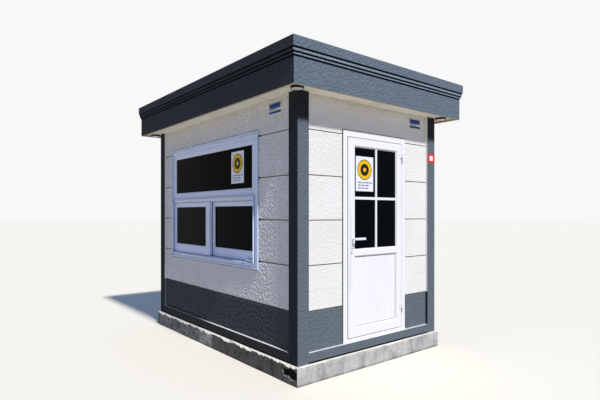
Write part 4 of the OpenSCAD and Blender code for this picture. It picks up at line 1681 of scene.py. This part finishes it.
@dataclass
class Plates:
    """Bare plates on the walls and the post, and plain printed film on two panes.

    A field's place on a plate or a film is given in shares of half its width and half its height. Each
    wall plate is given by its run and the reach of the wall, and each film by its middle and its height.
    """

    front_plate: Point = (0.676, 1.47)
    left_plate: Point = (1.131, 0.97)
    plate_size: Point = (0.2, 0.114)
    plate_height: float = 2.493
    thickness: float = 0.0012
    plate_sunk: float = 0.001
    field_sunk: float = 0.0005
    field_proud: float = 0.0002
    plate_fields: tuple[tuple[float, float, float, float], ...] = (
        (-0.84, -0.02, 0.84, 0.78), (-0.84, -0.26, 0.3, -0.12), (-0.92, -0.86, 0.92, -0.44),
    )
    post_blocks: tuple[tuple[float, float, float, float, float], ...] = (
        (0.063, 2.08, 2.182, -0.001, 0.0015), (0.03, 2.103, 2.159, 0.001, 0.0018),
    )
    window_film: tuple[float, float, float] = (0.438, 1.994, 0.336)
    door_film: tuple[float, float, float] = (-0.117, 1.901, 0.344)
    film_width: float = 0.25
    film_back: float = 0.0001
    film_proud: float = 0.0003
    bar_proud: float = 0.0006
    bar_half: float = 0.035
    bar_start: float = -0.74
    bar_gap: float = 0.09
    bar_rows: tuple[tuple[float, tuple[float, ...]], ...] = (
        (-0.5, (0.375, 0.275, 0.375, 0.275)), (-0.66, (0.275, 0.375, 0.375)), (-0.82, (0.375, 0.275, 0.275)),
    )
    disc_rise: float = 0.24
    discs: tuple[tuple[float, float, int], ...] = (
        (0.82, 0.0005, 2), (0.76, 0.0008, 1), (0.48, 0.0011, 2), (0.17, 0.0014, 1),
    )

    def build(self) -> None:
        """Adds the plates and the films."""
        self.wall_plate("front_wall_plate", WallSide.FRONT, *self.front_plate, 0.0)
        self.wall_plate("left_wall_plate", WallSide.LEFT, *self.left_plate, TrowelRelief.height)
        self.post_plate()
        self.film("window_film", WallSide.LEFT, "upper_pane", *self.window_film, Body.BOOTH)
        self.film("door_film", WallSide.FRONT, "door_glass", *self.door_film, Body.DOOR)

    def wall_plate(self, name: str, side: WallSide, run: float, wall: float, relief: float) -> None:
        """Adds an aluminium plate with plain blue fields.

        Args:
            name: the plate's name.
            side: the wall.
            run: its middle along the wall.
            wall: reach of the wall's face.
            relief: height of the ridges that it lies on.
        """
        half_w, half_h = (size / 2 for size in self.plate_size)
        height, front = self.plate_height, wall + relief + self.thickness
        sketch = Sketch()
        sketch.block(
            side, (run - half_w, height - half_h, wall - self.plate_sunk), (run + half_w, height + half_h, front)
        )
        for low_x, low_y, high_x, high_y in self.plate_fields:
            sketch.block(
                side, (run + low_x * half_w, height + low_y * half_h, front - self.field_sunk),
                (run + high_x * half_w, height + high_y * half_h, front + self.field_proud), 1,
            )
        sketch.piece(name, [ANODISED, BLUE_ENAMEL], Slot.METAL)

    def post_plate(self) -> None:
        """Adds the red plate with a plain white field on the front right post."""
        low, high, _, front = WallSide.FRONT.rectangle("corner_post_front_right")
        middle = (low[0] + high[0]) / 2
        sketch = Sketch()
        for paint, (half, bottom, top, back, proud) in enumerate(self.post_blocks):
            sketch.block(
                WallSide.FRONT, (middle - half, bottom, front + back), (middle + half, top, front + proud), paint
            )
        sketch.piece("post_plate", [RED_ENAMEL, WHITE_PRINT], Slot.METAL)

    def film(
        self, name: str, side: WallSide, pane: str, run: float, up: float, height: float, body: Body
    ) -> None:
        """Adds a white film with a plain amber ring over rows of short bars, on the outer face of a pane.

        Args:
            name: the film's name.
            side: the wall.
            pane: the pane's node.
            run: the run of the film's middle.
            up: the height of its middle.
            height: how high the film itself is.
            body: the body that it rides on.
        """
        glass = side.rectangle(pane)[3]
        half_w, half_h = self.film_width / 2, height / 2
        fields = [(-1.0, -1.0, 1.0, 1.0, self.film_proud, 0)]
        for row, lengths in self.bar_rows:
            start = self.bar_start
            for length in lengths:
                fields.append((start, row - self.bar_half, start + length, row + self.bar_half, self.bar_proud, 3))
                start += length + self.bar_gap
        sketch = Sketch()
        for low_x, low_y, high_x, high_y, proud, paint in fields:
            sketch.block(
                side, (run + low_x * half_w, up + low_y * half_h, glass + self.film_back),
                (run + high_x * half_w, up + high_y * half_h, glass + proud), paint,
            )
        centre = side.point(run, up + self.disc_rise * half_h, glass)
        for share, proud, paint in self.discs:
            radius = share * half_w
            sketch.turned(centre, side.point(0, 0, 1), [(radius, 0.0), (radius, proud), (0.0, proud)], 48, paint)
        sketch.piece(name, [CARD, AMBER_PRINT, DARK_PRINT, GREY_PRINT], Slot.WHITE, body)


def towards(azimuth_deg: float, height_deg: float) -> Vector:
    """Gives the direction from the booth to something at an azimuth from the front and a height."""
    turn, rise = math.radians(azimuth_deg), math.radians(height_deg)
    return Vector((math.sin(turn) * math.cos(rise), -math.cos(turn) * math.cos(rise), math.sin(rise)))


@dataclass
class Studio:
    """Pale floor, pale surroundings and one soft key lamp, high in front of the door wall."""

    key_azimuth_deg: float = -5.8
    key_height_deg: float = 50.6
    key_strength: float = 3.4
    key_softness_deg: float = 3.5
    fill: str = "#6c82ac"
    floor_bounce: str = "#bdb6aa"
    floor_seen: str = "#f7efdc"
    floor_cloud_mm: float = 900.0
    surroundings: str = "#f8f8f8"
    floor_reach: float = 90.0

    def build(self) -> None:
        """Builds the floor, the surroundings and the lamp."""
        bpy.context.scene.view_settings.view_transform = "Standard"
        self.build_world()
        self.build_floor()
        self.build_key()

    def seen(self, recipe: Recipe, bounced: str, pale: str) -> bpy.types.NodeSocket:
        """Gives a pale colour to rays from the camera, off a gloss or through glass, and another to the rest.

        Args:
            recipe: the recipe that the nodes go into.
            bounced: hex code of the colour that lights the booth.
            pale: hex code of the colour that is seen.

        Returns:
            The colour.
        """
        rays = recipe.add("LightPath").outputs
        glossy = recipe.add("Math", {"operation": "MAXIMUM"}, {0: rays["Is Camera Ray"], 1: rays["Is Glossy Ray"]})
        any_ray = recipe.add("Math", {"operation": "MAXIMUM"}, {0: glossy, 1: rays["Is Transmission Ray"]})
        return recipe.lay(bounced, [(any_ray, pale)])

    def build_world(self) -> None:
        """Builds the fill light and the pale surroundings."""
        world = bpy.data.worlds.new("studio")
        world.use_nodes = True
        recipe = Recipe(world.node_tree)
        colour = self.seen(recipe, self.fill, self.surroundings)
        recipe.fit(world.node_tree.nodes["Background"], None, {"Color": colour})
        bpy.context.scene.world = world

    def build_floor(self) -> None:
        """Builds the floor, which looks pale, bounces a middle grey, and is clear from below."""
        material = bpy.data.materials.new("studio_floor")
        material.use_nodes = True
        recipe = Recipe(material.node_tree)
        cloud = recipe.add(
            "TexNoise", {"Scale": per_metre(self.floor_cloud_mm), "Detail": 4.0}, {"Vector": recipe.place}
        )
        rough = recipe.add("MapRange", {"To Min": 0.85, "To Max": 0.95}, {"Value": cloud})
        colour = self.seen(recipe, self.floor_bounce, self.floor_seen)
        recipe.fit(recipe.shader, {"Specular IOR Level": 0.0}, {"Base Color": colour, "Roughness": rough})
        below = recipe.add("NewGeometry").outputs["Backfacing"]
        surface = recipe.add("MixShader", links={0: below, 1: recipe.shader, 2: recipe.add("BsdfTransparent")})
        recipe.fit(material.node_tree.nodes["Material Output"], None, {"Surface": surface})
        mesh = bmesh.new()
        bmesh.ops.create_circle(mesh, cap_ends=True, radius=self.floor_reach, segments=96)
        data = bpy.data.meshes.new("studio_floor")
        mesh.to_mesh(data)
        mesh.free()
        data.materials.append(material)
        placed("studio_floor", data)

    def build_key(self) -> None:
        """Builds the soft key lamp."""
        data = bpy.data.lights.new("key", "SUN")
        data.energy = self.key_strength
        data.angle = math.radians(self.key_softness_deg)
        lamp = placed("key", data)
        lamp.rotation_mode = "QUATERNION"
        lamp.rotation_quaternion = towards(self.key_azimuth_deg, self.key_height_deg).to_track_quat("Z", "Y")


@dataclass
class Viewpoint:
    """The camera, where it stood for the photo: level, at eye height, off the near corner."""

    place: tuple[float, float, float] = (-3.537, -4.667, 1.510)
    azimuth_deg: float = -38.99
    height_deg: float = 0.09
    focal_px: float = 466.28
    image_w_px: float = 600.0
    horizon_drop_px: float = 14.04
    sensor_mm: float = 36.0

    def build(self) -> None:
        """Builds the camera and makes it the scene's own."""
        data = bpy.data.cameras.new("viewpoint")
        data.sensor_width = self.sensor_mm
        data.lens = self.focal_px / self.image_w_px * self.sensor_mm
        data.shift_y = self.horizon_drop_px / self.image_w_px
        camera = placed("viewpoint", data)
        camera.rotation_mode = "QUATERNION"
        camera.rotation_quaternion = (-towards(self.azimuth_deg, self.height_deg)).to_track_quat("-Z", "Y")
        camera.location = Vector(self.place)
        bpy.context.scene.camera = camera


def main() -> None:
    """Builds the booth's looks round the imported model."""
    logging.basicConfig(level=logging.INFO, format="%(message)s")
    for spare in list(bpy.data.objects):
        bpy.data.objects.remove(spare)
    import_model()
    Viewpoint().build()
    Studio().build()
    for assembly in (Plinth(), Shell(), TrowelRelief(), Roof(), SoffitLights(), SlidingWindow(), DoorSet(), Plates()):
        assembly.build()
        LOG.info("%s built", type(assembly).__name__)


if __name__ == "__main__":
    main()
